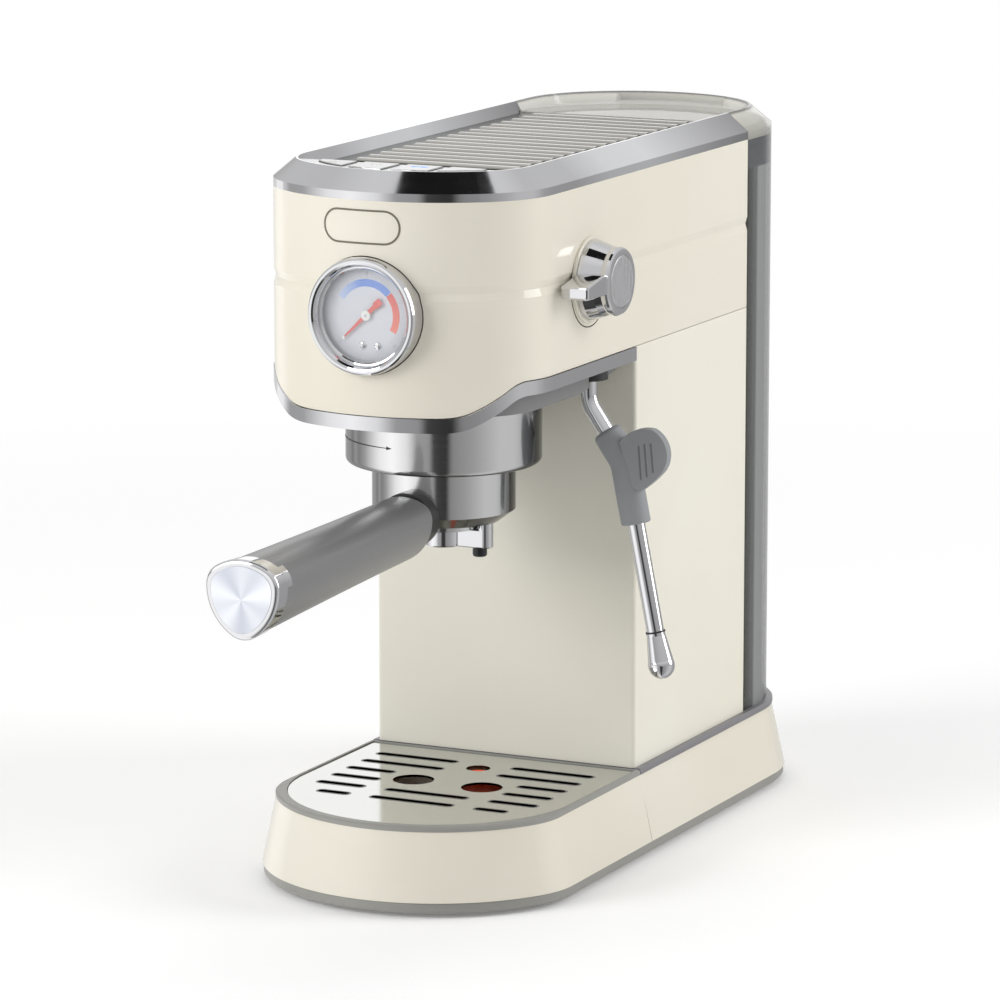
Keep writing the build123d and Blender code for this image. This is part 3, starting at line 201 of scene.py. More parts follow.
def makeEnamel(name, values):
    mat, tree, shader = newFinish(name, values["colour"], values["roughness"],
                                  coat=values["coat"])
    shader.inputs["Specular IOR Level"].default_value = paint["specular"]
    cloud = noiseAt(tree, objectPlace(tree), paint["cloud"], paint["detail"])
    cloud = shareOf(tree, cloud, paint["cloudLimits"])
    tree.links.new(blended(tree, cloud, values["colour"], values["shade"]),
                   shader.inputs["Base Color"])
    skin = noiseAt(tree, objectPlace(tree), paint["skin"], paint["detail"])
    bumpFrom(tree, shader, skin, *paint["bump"])
    return mat


# Plastics and rubbers: grain is the size of the moulded texture

plastic = {
    "gripGrey": {"colour": srgb(122, 122, 123), "roughness": 0.3, "grain": 1500.0},
    "sleeveGrey": {"colour": srgb(146, 148, 151), "roughness": 0.55, "grain": 1500.0},
    "ribGrey": {"colour": srgb(112, 114, 118), "roughness": 0.6, "grain": 1500.0},
    "trimGrey": {"colour": srgb(152, 151, 146), "roughness": 0.4, "grain": 1200.0},
    "deckGrey": {"colour": srgb(128, 126, 130), "roughness": 0.35, "grain": 1200.0},
    "underGrey": {"colour": srgb(122, 122, 122), "roughness": 0.5, "grain": 1200.0},
    "panelGrey": {"colour": srgb(104, 105, 107), "roughness": 0.5, "grain": 1200.0},
    "darkPlastic": {"colour": srgb(38, 38, 39), "roughness": 0.4, "grain": 1500.0},
    "footRubber": {"colour": srgb(70, 70, 70), "roughness": 0.75, "grain": 2500.0},
    "tipRubber": {"colour": srgb(24, 24, 25), "roughness": 0.35, "grain": 2500.0},
    "floatRed": {"colour": srgb(236, 92, 54), "roughness": 0.35, "grain": 1500.0,
                 "glow": 0.4, "glowHeight": (0.033, 0.034)},
    "boardGreen": {"colour": srgb(36, 92, 58), "roughness": 0.45, "grain": 800.0},
    "hoseWhite": {"colour": srgb(222, 221, 214), "roughness": 0.45, "grain": 800.0},
    # the slot strips' colour is painted shade round the grid's slots
    "slotEdgeShade": {"colour": srgb(112, 112, 109), "roughness": 0.35, "grain": 2500.0},
    "gapShade": {"colour": srgb(62, 58, 48), "roughness": 0.6, "grain": 2500.0},
    "plateLine": {"colour": srgb(112, 104, 88), "roughness": 0.4, "grain": 2500.0},
    "arrowInk": {"colour": srgb(42, 42, 43), "roughness": 0.5, "grain": 2500.0},
    "iconWhite": {"colour": srgb(236, 236, 232), "roughness": 0.4, "grain": 2500.0},
    "dialInk": {"colour": srgb(150, 153, 160), "roughness": 0.5, "grain": 2500.0},
    "screwHead": {"colour": srgb(196, 200, 210), "roughness": 0.18, "grain": 900.0},
    "hubWhite": {"colour": srgb(240, 240, 236), "roughness": 0.4, "grain": 2500.0},
}
moulding = {"detail": 3.0, "smoother": 0.05, "rougher": 0.07, "bump": (0.12, 0.0003)}


def makePlastic(name, values):
    mat, tree, shader = newFinish(name, values["colour"], values["roughness"])
    grain = noiseAt(tree, objectPlace(tree), values["grain"], moulding["detail"])
    low = values["roughness"] - moulding["smoother"]
    high = values["roughness"] + moulding["rougher"]
    tree.links.new(mapped(tree, grain, low, high), shader.inputs["Roughness"])
    bumpFrom(tree, shader, grain, *moulding["bump"])
    if "glow" in values:
        # painted light: the float glows at the top, inside the grid's hole, though it holds no
        # lamp
        shader.inputs["Emission Color"].default_value = values["colour"]
        height = parts(tree, objectPlace(tree))[2]
        tree.links.new(mapped(tree, height, 0.0, values["glow"], *values["glowHeight"]),
                       shader.inputs["Emission Strength"])
    return mat


# Metals: stretch is how the brushing runs along X, Y and Z

metal = {
    "chrome": {"colour": srgb(214, 214, 216), "roughness": 0.05, "spread": 0.02,
               "stretch": (60, 60, 60)},
    "bezelChrome": {"colour": srgb(206, 206, 208), "roughness": 0.1, "spread": 0.03,
                    "stretch": (60, 60, 60)},
    # rimChrome's bands paint a bright reflection across the middle of the top rim and a darker
    # rear end
    "rimChrome": {
        "colour": srgb(206, 206, 208), "roughness": 0.1, "spread": 0.03,
        "stretch": (60, 60, 60), "node": "top_bezel", "axis": 1,
        "bands": ((0.0, (206, 206, 208)), (0.28, (206, 206, 208)), (0.42, (238, 239, 241)),
                  (0.58, (244, 245, 247)), (0.8, (206, 206, 208)), (1.0, (162, 162, 164))),
    },
    "buttonSteel": {"colour": srgb(196, 196, 196), "roughness": 0.24, "spread": 0.08,
                    "stretch": (60, 1800, 1800)},
    # ringSteel's edge is a painted shade for where the metal turns away from the view
    "ringSteel": {"colour": srgb(214, 214, 214), "roughness": 0.12, "spread": 0.05,
                  "stretch": (25, 25, 2600), "edge": srgb(72, 72, 73)},
    "capSteel": {"colour": srgb(218, 218, 220), "roughness": 0.3, "spread": 0.08,
                 "stretch": (900, 900, 60)},
    "castAlloy": {"colour": srgb(170, 170, 172), "roughness": 0.45, "spread": 0.15,
                  "stretch": (300, 300, 300)},
    "brass": {"colour": srgb(196, 164, 98), "roughness": 0.3, "spread": 0.1,
              "stretch": (200, 200, 200)},
}
brushing = {"detail": 4.0, "limits": (0.25, 0.75), "smoothest": 0.02, "turnAway": (0.38, 0.62),
            "feltFrom": 0.05, "bump": (0.08, 0.00004)}


def brushedStreaks(tree, stretch):
    return noiseAt(tree, objectPlace(tree, stretch), 1.0, brushing["detail"])


def makeMetal(name, values):
    mat, tree, shader = newFinish(name, values["colour"], values["roughness"], metallic=1.0)
    streak = brushedStreaks(tree, values["stretch"])
    low = max(brushing["smoothest"], values["roughness"] - values["spread"])
    high = values["roughness"] + values["spread"]
    tree.links.new(mapped(tree, streak, low, high, *brushing["limits"]),
                   shader.inputs["Roughness"])
    if "bands" in values:
        # painted reflection: the bands brighten and darken the metal along one axis
        tree.links.new(bandTint(tree, values), shader.inputs["Base Color"])
    if "edge" in values:
        # painted shade: the metal's colour darkens where it turns away from the view
        away = tree.nodes.new("ShaderNodeLayerWeight").outputs["Facing"]
        away = shareOf(tree, away, brushing["turnAway"])
        tree.links.new(blended(tree, away, values["colour"], values["edge"]),
                       shader.inputs["Base Color"])
    if values["spread"] > brushing["feltFrom"]:
        bumpFrom(tree, shader, streak, *brushing["bump"])
    return mat


# Pressed sheets, with painted shade where the metal turns down into their slots. Below "low" the
# tray's slats get painted shade as well.

sheet = {
    "gridSteel": {"colour": srgb(200, 201, 197), "edge": srgb(40, 40, 38), "roughness": 0.1,
                  "stretch": (12, 900, 900), "bump": (0.03, 0.00003)},
    "traySteel": {"colour": srgb(196, 195, 192), "edge": srgb(84, 83, 80), "roughness": 0.24,
                  "stretch": (12, 700, 700), "bump": (0.02, 0.00003),
                  "shade": srgb(66, 65, 62), "low": (0.3072, 0.3078)},
}
pressing = {"upright": (0.35, 0.85), "smoother": 0.04, "rougher": 0.06, "thrown": 0.8}


def makeSheet(name, values):
    mat, tree, shader = newFinish(name, values["colour"], values["roughness"], metallic=1.0)
    facing = tree.nodes.new("ShaderNodeTexCoord").outputs["Normal"]
    upness = shareOf(tree, parts(tree, facing)[2], pressing["upright"])
    # painted shade: the colour darkens where the surface faces down into a slot
    tint = blended(tree, upness, values["edge"], values["colour"])
    if "low" in values:
        height = parts(tree, objectPlace(tree))[2]
        # painted shade on the tray's slats below the height low
        tint = blended(tree, shareOf(tree, height, values["low"]), values["shade"], tint)
    tree.links.new(tint, shader.inputs["Base Color"])
    streak = brushedStreaks(tree, values["stretch"])
    low = values["roughness"] - pressing["smoother"]
    high = values["roughness"] + pressing["rougher"]
    brushed = mapped(tree, streak, low, high, *brushing["limits"])
    # dull for the light it throws on, so that no slot pattern lies on the column
    seen = tree.nodes.new("ShaderNodeLightPath")
    thrown = sums(tree, "MULTIPLY", seen.outputs["Is Diffuse Ray"], pressing["thrown"])
    tree.links.new(sums(tree, "MAXIMUM", brushed, thrown), shader.inputs["Roughness"])
    bumpFrom(tree, shader, streak, *values["bump"])
    return mat


# Disc in the end of the grip: painted wedges of reflected light over fine lines turned round its
# middle

fan = {"pale": srgb(236, 238, 243), "deep": srgb(196, 200, 210), "roughness": 0.3,
       "metallic": 0.85, "wedges": 5.0, "broadWedges": 2.0, "broadTurn": 1.1,
       "lines": 30000.0, "bump": (0.04, 0.00003)}


def makeFan(name, values):
    mat, tree, shader = newFinish(name, values["pale"], values["roughness"],
                                  metallic=values["metallic"])
    low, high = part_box("handle_disc")
    across, upward = fromMiddle(tree, low, high)
    turn = sums(tree, "ARCTAN2", upward, across)
    wave = sums(tree, "SINE", sums(tree, "MULTIPLY", turn, values["wedges"]))
    broad = sums(tree, "MULTIPLY", turn, values["broadWedges"])
    ripple = sums(tree, "SINE", sums(tree, "ADD", broad, values["broadTurn"]))
    tone = shareOf(tree, sums(tree, "ADD", wave, ripple), (-2.0, 2.0))
    # painted reflection: the colour brightens and darkens in wedges round the middle
    tree.links.new(blended(tree, tone, values["deep"], values["pale"]),
                   shader.inputs["Base Color"])
    reach = reachOf(tree, across, upward)
    ring = sums(tree, "SINE", sums(tree, "MULTIPLY", reach, values["lines"]))
    bumpFrom(tree, shader, ring, *values["bump"])
    return mat


# Clear and smoky pieces: bands are tints along one axis, partly the walls and rims that show
# behind each other and partly painted highlight and painted shade, and collar is the height above
# which the tank turns to a darker tone

clear = {
    "gaugeGlass": {"colour": srgb(250, 251, 252), "roughness": 0.02, "alpha": 0.1},
    "smokyTank": {
        "colour": srgb(124, 125, 126), "roughness": 0.06, "alpha": 0.7,
        "node": "water_tank", "axis": 1,
        "bands": ((0.0, (60, 61, 53)), (0.08, (84, 85, 84)), (0.13, (96, 98, 98)),
                  (0.17, (156, 158, 157)), (0.3, (150, 152, 151)), (0.42, (112, 113, 113)),
                  (0.8, (122, 124, 125)), (1.0, (148, 149, 149))),
        "collar": (0.2868, 0.2874), "collarTone": srgb(92, 94, 97),
    },
    "smokyLid": {
        "colour": srgb(212, 209, 197), "roughness": 0.05, "alpha": 0.55,
        "node": "tank_lid", "axis": 2,
        "bands": ((0.0, (84, 83, 78)), (0.1, (92, 91, 86)), (0.14, (176, 174, 166)),
                  (0.5, (196, 194, 186)), (0.75, (222, 220, 210)), (0.9, (238, 236, 226)),
                  (0.94, (226, 224, 214)), (0.97, (66, 64, 58))),
    },
}
casting = {"ripple": 40.0, "detail": 2.0, "bump": (0.03, 0.0003)}


def makeClear(name, values):
    mat, tree, shader = newFinish(name, values["colour"], values["roughness"])
    shader.inputs["Alpha"].default_value = values["alpha"]
    if "bands" in values:
        # the bands hold painted highlight and painted shade among the tints of the walls
        tint = bandTint(tree, values)
        if "collar" in values:
            above = shareOf(tree, parts(tree, objectPlace(tree))[2], values["collar"])
            tint = blended(tree, above, tint, values["collarTone"])
        tree.links.new(tint, shader.inputs["Base Color"])
    ripple = noiseAt(tree, objectPlace(tree), casting["ripple"], casting["detail"])
    bumpFrom(tree, shader, ripple, *casting["bump"])
    return mat


# Gauge colours: the face darkens towards its rim, a painted shade next to the bezel, and each arc
# fades along X or Z

dial = {
    "face": srgb(214, 217, 224),
    "rim": srgb(188, 191, 198),
    "rimReach": (0.013, 0.019),
    "roughness": 0.45,
    "needle": srgb(222, 84, 72),
    "needleRoughness": 0.4,
}
dialArcs = {
    "dialBlue": {"colour": srgb(98, 142, 222), "axis": 0, "fade": (-0.012, -0.003),
                 "from": srgb(190, 206, 236), "to": srgb(98, 142, 222)},
    "dialRed": {"colour": srgb(238, 122, 100), "axis": 2, "fade": (0.246, 0.262),
                "from": srgb(238, 122, 100), "to": srgb(222, 84, 72)},
}
buttonLight = {"colour": srgb(92, 150, 235), "roughness": 0.4, "glow": 0.9}


def makeDialFace(name, values):
    mat, tree, shader = newFinish(name, values["face"], values["roughness"])
    low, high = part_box("gauge_dial")
    reach = shareOf(tree, reachOf(tree, *fromMiddle(tree, low, high)), values["rimReach"])
    # painted shade: the face darkens towards its rim
    tree.links.new(blended(tree, reach, values["face"], values["rim"]),
                   shader.inputs["Base Color"])
    return mat


def makeDialArc(name, values):
    mat, tree, shader = newFinish(name, values["colour"], dial["roughness"])
    along = parts(tree, objectPlace(tree))[values["axis"]]
    fade = shareOf(tree, along, values["fade"])
    tree.links.new(blended(tree, fade, values["from"], values["to"]), shader.inputs["Base Color"])
    return mat


def makeLit(name, values):
    mat, _, shader = newFinish(name, values["colour"], values["roughness"])
    shader.inputs["Emission Color"].default_value = values["colour"]
    shader.inputs["Emission Strength"].default_value = values["glow"]
    return mat


finishes = {}
for maker, family in ((makeEnamel, enamels), (makePlastic, plastic), (makeMetal, metal),
                      (makeSheet, sheet), (makeClear, clear), (makeDialArc, dialArcs)):
    finishes.update({name: maker(name, values) for name, values in family.items()})
finishes["turnedDisc"] = makeFan("turnedDisc", fan)
finishes["dialFace"] = makeDialFace("dialFace", dial)
finishes["needleRed"] = newFinish("needleRed", dial["needle"], dial["needleRoughness"])[0]
finishes["blueLight"] = makeLit("blueLight", buttonLight)
print("finishes made:", len(finishes))

dress = {
    "base_pan": "trimGrey", "feet": "footRubber", "base_housing": "enamel",
    "base_deck": "deckGrey", "drip_tray": "enamel", "tray_trim": "trimGrey",
    "drip_grid": "gridSteel", "tray_float": "floatRed", "column_shell": "columnEnamel",
    "rear_panel": "panelGrey", "head_shell": "enamel", "head_band": "bezelChrome",
    "head_floor": "underGrey", "top_bezel": "rimChrome", "cup_tray": "traySteel",
    "button_panel": "buttonSteel", "power_button": "buttonSteel", "one_cup_button": "buttonSteel",
    "two_cup_button": "buttonSteel", "steam_button": "buttonSteel", "button_board": "boardGreen",
    "gauge_case": "castAlloy", "gauge_bezel": "chrome", "gauge_dial": "dialFace",
    "gauge_needle": "needleRed", "gauge_glass": "gaugeGlass", "group_collar": "ringSteel",
    "group_head": "castAlloy", "group_gasket": "tipRubber", "shower_screen": "ringSteel",
    "screen_screw": "ringSteel", "filter_holder": "ringSteel", "filter_basket": "ringSteel",
    "spout": "chrome", "spout_tips": "tipRubber", "handle_neck": "darkPlastic",
    "handle_grip": "gripGrey", "handle_cap": "chrome", "handle_disc": "turnedDisc",
    "knob_ring": "enamel", "steam_knob": "chrome", "knob_cap": "capSteel", "steam_valve": "brass",
    "wand_socket": "darkPlastic", "wand_ball": "brass", "steam_tube": "chrome",
    "wand_sleeve": "sleeveGrey", "wand_tip": "chrome", "water_tank": "smokyTank",
    "tank_lid": "smokyLid", "tank_valve": "darkPlastic", "tank_socket": "darkPlastic",
    "boiler": "castAlloy", "pump": "darkPlastic", "pump_mounts": "tipRubber",
    "pump_cradle": "underGrey", "control_board": "boardGreen", "suction_hose": "hoseWhite",
    "pressure_hose": "hoseWhite", "cord_gland": "darkPlastic",
}


def wear(piece, finish):
    piece.data.materials.clear()
    piece.data.materials.append(finishes[finish])


for name, finish in dress.items():
    wear(nodes[name], finish)
print("nodes dressed:", len(dress))


# Thin solids laid on the surfaces of the machine

def makeSolid(name, rings, body, finish, loop=False):
    # rings of equal length, each joined to the next; open ends are capped
    mesh = bpy.data.meshes.new(name)
    bm = bmesh.new()
    rows = [[bm.verts.new(point) for point in ring] for ring in rings]
    pairs = list(zip(rows, rows[1:]))
    if loop:
        pairs.append((rows[-1], rows[0]))
    else:
        bm.faces.new(rows[0])
        bm.faces.new(rows[-1])
    for near, far in pairs:
        for i in range(len(near)):
            j = (i + 1) % len(near)
            bm.faces.new((near[i], near[j], far[j], far[i]))
    bmesh.ops.recalc_face_normals(bm, faces=bm.faces[:])
    bm.to_mesh(mesh)
    bm.free()
    piece = bpy.data.objects.new(name, mesh)
    bpy.context.scene.collection.objects.link(piece)
    wear(piece, finish)
    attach(piece, body)
    return piece


def stripRings(line, width, depth, place, loop=False):
    # oblong section along a flat line, bent onto a surface by place(across, up, out);
    # width is one number, or a list with one for each point
    count = len(line)
    widths = width if isinstance(width, list) else [width] * count
    rings = []
    for i, (s, t) in enumerate(line):
        before = line[i - 1] if i or loop else line[i]
        after = line[(i + 1) % count] if i < count - 1 or loop else line[i]
        run = Vector((after[0] - before[0], after[1] - before[1])).normalized() * widths[i] / 2
        left, right = (s - run.y, t + run.x), (s + run.y, t - run.x)
        rings.append([place(*left, 0), place(*right, 0),
                      place(*right, depth), place(*left, depth)])
    return rings


def turnedRings(profile, place, steps):
    # profile gives radius and height along the axis
    turns = [math.radians(360 * i / steps) for i in range(steps)]
    return [[place(radius * math.cos(t), radius * math.sin(t), out) for t in turns]
            for radius, out in profile]


def arcLine(radius, start, stop, steps, centre=(0, 0)):
    turns = [math.radians(start + (stop - start) * i / steps) for i in range(steps + 1)]
    return [(centre[0] + radius * math.cos(t), centre[1] + radius * math.sin(t)) for t in turns]


# Gauge: coloured arcs, ticks and numbers on the dial; turns are in degrees from the right

gauge = {
    "screwHeight": 0.0006,
    "arcs": (("dialBlueArc", (150, 42.6), "dialBlue"), ("dialRedArc", (41.6, -28), "dialRed")),
    "arcRadius": 0.0135,
    "arcWidth": 0.0031,
    "arcSteps": 40,
    "scaleTurns": (223.6, -44),
    "ticks": 33,
    "tickRadius": (0.0157, 0.0164),
    "tickWidth": 0.00016,
    "longTickEvery": 8,
    "longTickMore": 0.0007,
    "numbers": 5,
    "numberStep": 4,
    "numberRadius": 0.0174,
    "numberSize": 0.0019,
    "ink": 0.00004,
}
dialLow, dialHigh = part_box("gauge_dial")
dialX, _, dialZ = middleOf(dialLow, dialHigh)
dialFront = dialLow[1] + gauge["screwHeight"]


def onDial(across, up, out):
    return dialX + across, dialFront - out, dialZ + up


def scaleTurn(number, count):
    start, stop = gauge["scaleTurns"]
    return math.radians(start + (stop - start) * number / (count - 1))


def addGaugeArt(values):
    for name, turns, finish in values["arcs"]:
        line = arcLine(values["arcRadius"], *turns, values["arcSteps"])
        rings = stripRings(line, values["arcWidth"], values["ink"] * 2, onDial)
        makeSolid(name, rings, "machine", finish)
    for i in range(values["ticks"]):
        turn = scaleTurn(i, values["ticks"])
        inner, outer = values["tickRadius"]
        if i % values["longTickEvery"] == 0:
            inner -= values["longTickMore"]
        line = [(r * math.cos(turn), r * math.sin(turn)) for r in (inner, outer)]
        rings = stripRings(line, values["tickWidth"], values["ink"], onDial)
        makeSolid(f"dialTick{i}", rings, "machine", "dialInk")


def addNumbers(values):
    radius = values["numberRadius"]
    for i in range(values["numbers"]):
        turn = scaleTurn(i, values["numbers"])
        text = bpy.data.curves.new(f"dialNumber{i}", "FONT")
        text.body = str(i * values["numberStep"])
        text.size = values["numberSize"]
        text.extrude = values["ink"] / 2
        text.align_x = "CENTER"
        text.align_y = "CENTER"
        piece = bpy.data.objects.new(f"dialNumber{i}", text)
        bpy.context.scene.collection.objects.link(piece)
        piece.location = onDial(radius * math.cos(turn), radius * math.sin(turn),
                                values["ink"] / 2)
        piece.rotation_euler = (math.radians(90), 0, 0)
        wear(piece, "dialInk")
        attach(piece, "machine")


addGaugeArt(gauge)
addNumbers(gauge)

# Two domed screws low on the dial

screw = {"places": ((-0.002, -0.0126), (0.005, -0.0126)),
         "dome": ((0.00155, 0.0), (0.0015, 0.0004), (0.0012, 0.0008), (0.0007, 0.00105),
                  (0.0002, 0.0011)),
         "steps": 24}


def addScrews(values):
    for number, (across, up) in enumerate(values["places"]):

        def onScrew(s, t, out):
            return onDial(across + s, up + t, out)

        rings = turnedRings(values["dome"], onScrew, values["steps"])
        makeSolid(f"dialScrew{number}", rings, "machine", "chrome")


addScrews(screw)

# Needle with its counterweight, white hub, pin and white dot at the tip

needle = {
    "turn": 223.6,
    "seat": 0.0006,
    "outline": ((-0.0094, 0.0026), (-0.0088, 0.003), (-0.0062, 0.0031), (-0.0058, 0.0019),
                (-0.002, 0.0018), (0.002, 0.0016), (0.0139, 0.00055)),
    "thickness": 0.0004,
    "hub": ((0.0022, 0.0), (0.0022, 0.0003), (0.0019, 0.0006), (0.0004, 0.0006)),
    "pin": ((0.0006, 0.0005), (0.0006, 0.0008), (0.0002, 0.0009)),
    "dot": ((0.0007, 0.0003), (0.0006, 0.0006), (0.0001, 0.0006)),
    "dotReach": 0.0142,
    "steps": 32,
}


def addNeedle(values):
    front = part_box("gauge_needle")[0][1] + values["seat"]
    turn = math.radians(values["turn"])

    def onNeedle(along, aside, out):
        return (dialX + along * math.cos(turn) - aside * math.sin(turn), front - out,
                dialZ + along * math.sin(turn) + aside * math.cos(turn))

    def atDot(along, aside, out):
        return onNeedle(along + values["dotReach"], aside, out)

    line = [(along, 0) for along, _ in values["outline"]]
    widths = [width for _, width in values["outline"]]
    rings = stripRings(line, widths, values["thickness"], onNeedle)
    blade = makeSolid("needleBlade", rings, "gauge_needle", "needleRed")
    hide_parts("gauge_needle")
    for name, place, finish in (("hub", onNeedle, "hubWhite"), ("pin", onNeedle, "screwHead"),
                                ("dot", atDot, "hubWhite")):
        rings = turnedRings(values[name], place, values["steps"])
        makeSolid(f"needle{name.title()}", rings, "gauge_needle", finish)


addNeedle(needle)

# Rounded chrome ring round the glass, with a dark groove inside it

bezel = {
    "front": ((0.0, 0.0), (-0.0001, -0.0011), (-0.0005, -0.0021), (-0.0012, -0.0026),
              (-0.0021, -0.0026), (-0.0029, -0.0022), (-0.0036, -0.0014), (-0.004, -0.0004),
              (-0.0041, 0.0004), (-0.0047, 0.0006), (-0.0052, 0.0012), (-0.0053, 0.002),
              (-0.0012, 0.002)),
    "shoulder": 0.0026,
    "steps": 120,
}


def addBezel(values):
    low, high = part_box("gauge_bezel")
    radius = (high[0] - low[0]) / 2
    back = high[1] - low[1] - values["shoulder"]

    def onBezel(across, up, depth):
        return dialX + across, low[1] + values["shoulder"] + depth, dialZ + up

    front = [(radius + inset, depth) for inset, depth in values["front"]]
    profile = [(radius, back), *front, (front[-1][0], back)]
    rings = turnedRings(profile, onBezel, values["steps"])
    ring = makeSolid("gaugeRing", rings, "machine", "chrome", loop=True)
    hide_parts("gauge_bezel")


addBezel(bezel)
print("gauge drawn")

# Bare name plate on the nose of the head

plate = {"centre": (-0.002, 0.2896), "length": 0.0352, "height": 0.0136, "line": 0.0008,
         "proud": 0.00015, "noseRadius": 0.076, "endSteps": 16, "edgeSteps": 20}
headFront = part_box("head_shell")[0][1]


def onNose(across, up, out):
    radius = plate["noseRadius"] + out
    turn = across / plate["noseRadius"]
    return radius * math.sin(turn), headFront + plate["noseRadius"] - radius * math.cos(turn), up


def addPlate(values):
    x, z = values["centre"]
    half = values["height"] / 2
    reach = values["length"] / 2 - half
    steps = values["edgeSteps"]
    edge = [reach * (1 - 2 * i / steps) for i in range(1, steps)]
    line = arcLine(half, -90, 90, values["endSteps"], (x + reach, z))
    line += [(x + s, z + half) for s in edge]
    line += arcLine(half, 90, 270, values["endSteps"], (x - reach, z))
    line += [(x - s, z - half) for s in edge]
    rings = stripRings(line, values["line"], values["proud"], onNose, loop=True)
    makeSolid("namePlateLine", rings, "machine", "plateLine", loop=True)


addPlate(plate)

# Arrow round the collar, the way the holder locks; its line thins towards the head

arrow = {"turns": (-62, -9), "height": 0.0115, "line": 0.0009, "thinning": 0.65, "steps": 40,
         "head": 0.0026, "headWidth": 0.0016, "headSteps": 4, "headPoint": 4.2,
         "depth": 0.00006}
collarLow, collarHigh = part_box("group_collar")
collarRadius = (collarHigh[0] - collarLow[0]) / 2
collarMiddle = middleOf(collarLow, collarHigh)


def onCollar(across, up, out):
    radius = collarRadius + out
    turn = across / collarRadius
    return radius * math.sin(turn), collarMiddle[1] - radius * math.cos(turn), collarLow[2] + up


def addArrow(values):
    start, stop = (math.radians(turn) * collarRadius for turn in values["turns"])
    steps = values["steps"]
    line = [(start + (stop - start) * i / steps, values["height"]) for i in range(steps + 1)]
    widths = [values["line"] * (1 - values["thinning"] * i / steps) for i in range(steps + 1)]
    rings = stripRings(line, widths, values["depth"], onCollar)
    makeSolid("lockArrowLine", rings, "machine", "arrowInk")
    steps = values["headSteps"]
    tip = [(stop + values["head"] * i / steps, values["height"]) for i in range(steps + 1)]
    taper = [values["headWidth"] * (1 - i / values["headPoint"]) for i in range(steps + 1)]
    rings = stripRings(tip, taper, values["depth"], onCollar)
    makeSolid("lockArrowHead", rings, "machine", "arrowInk")


addArrow(arrow)

# Steam knob: drum, flat face with a rounded rim, and a lever flush with the face.
# Each row of the lever: how far out, how much smaller all round, and its foot and crown.

knob = {
    "drum": ((0.0169, 0.0), (0.0171, 0.0004), (0.0168, 0.0022), (0.0152, 0.0068),
             (0.0141, 0.0096), (0.0145, 0.0099), (0.0146, 0.0104), (0.0146, 0.0118),
             (0.0143, 0.0127), (0.0137, 0.0133), (0.0128, 0.0135), (0.0112, 0.0135),
             (0.0111, 0.0129), (0.0005, 0.0129)),
    "drumSteps": 96,
    "leverWidth": 0.0127,
    "leverMiddle": 0.0065,
    "rounding": 0.0009,
    "cornerSteps": 5,
    "lever": ((0.033, 0.0009, -0.0039, 0.0017), (0.0327, 0.0003, -0.0039, 0.0017),
              (0.0321, 0, -0.0039, 0.0017), (0.0175, 0, -0.004, 0.0046),
              (0.01, 0, -0.004, 0.0046)),
}
capLow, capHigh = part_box("knob_cap")
_, knobY, knobZ = middleOf(capLow, capHigh)


def onKnob(across, up, out):
    return capLow[0] - knob["drum"][-1][1] + out, knobY + across, knobZ + up


def roundedOutline(half, corner, steps):
    # oblong with rounded corners, round its middle
    outline = []
    for right, top, first in ((1, 1, 0), (-1, 1, 90), (-1, -1, 180), (1, -1, 270)):
        centre = (right * (half[0] - corner), top * (half[1] - corner))
        outline += arcLine(corner, first, first + 90, steps, centre)
    return outline


def addKnob(values):
    rings = turnedRings(values["drum"], onKnob, values["drumSteps"])
    drum = makeSolid("knobDrum", rings, "steam_knob", "chrome")
    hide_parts("steam_knob")
    rings = []
    for along, inset, foot, crown in values["lever"]:
        half = (values["leverWidth"] / 2 - inset, (crown - foot) / 2 - inset)
        outline = roundedOutline(half, values["rounding"], values["cornerSteps"])
        rings.append([onKnob(-along, (crown + foot) / 2 + t, values["leverMiddle"] + s)
                      for s, t in outline])
    makeSolid("knobLever", rings, "steam_knob", "chrome")


addKnob(knob)

# Painted shade: a dark strip on the column round the knob's ring, where the gap beside the ring
# is in shade

gap = {"radius": 0.0189, "drop": 0.0012, "width": 0.0005, "depth": 0.0001, "steps": 72}
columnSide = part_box("column_shell")[1][0]


def onColumn(across, up, out):
    return columnSide + out, knobY + across, knobZ - gap["drop"] + up


def addKnobGapShade(values):
    line = arcLine(values["radius"], 0, 360, values["steps"])[:-1]
    rings = stripRings(line, values["width"], values["depth"], onColumn, loop=True)
    # a dark strip of painted shade round the knob's ring
    makeSolid("knobGapShade", rings, "machine", "gapShade", loop=True)


addKnobGapShade(gap)

# Dark strips round the slots of the drip grid, painted shade at their edges, in rows from the
# column to the nose: the long rows come nearer to the middle, and rows from middleFrom on,
# counted from 0, cross it too

slots = {"rows": 6, "firstY": -0.0205, "pitch": 0.0143, "longRows": 2, "inner": 0.0135,
         "shortInner": 0.030, "wideRows": 5, "outer": 0.0522, "shortOuter": 0.0447,
         "middleFrom": 4, "middle": 0.0193, "width": 0.004, "rim": 0.0009, "proud": 0.00006,
         "endSteps": 8}
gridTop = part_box("drip_grid")[1][2]


def onGrid(x, y, out):
    return x, y, gridTop + out


def slotEnds(values):
    places = []
    for row in range(values["rows"]):
        y = values["firstY"] - values["pitch"] * row
        inner = values["inner"] if row < values["longRows"] else values["shortInner"]
        outer = values["outer"] if row < values["wideRows"] else values["shortOuter"]
        places += [(-outer, -inner, y), (inner, outer, y)]
        if row >= values["middleFrom"]:
            places.append((-values["middle"], values["middle"], y))
    return places


def addSlotEdgeShades(values):
    half = (values["width"] + values["rim"]) / 2
    reach = values["width"] / 2
    steps = values["endSteps"]
    for number, (left, right, y) in enumerate(slotEnds(values)):
        line = arcLine(half, -90, 90, steps, (right - reach, y))
        line += arcLine(half, 90, 270, steps, (left + reach, y))
        rings = stripRings(line, values["rim"], values["proud"], onGrid, loop=True)
        # painted shade: a dark strip round each slot's edge
        makeSolid(f"slotEdgeShade{number}", rings, "drip_grid", "slotEdgeShade", loop=True)


addSlotEdgeShades(slots)

# Signs on the four buttons, drawn in units of size

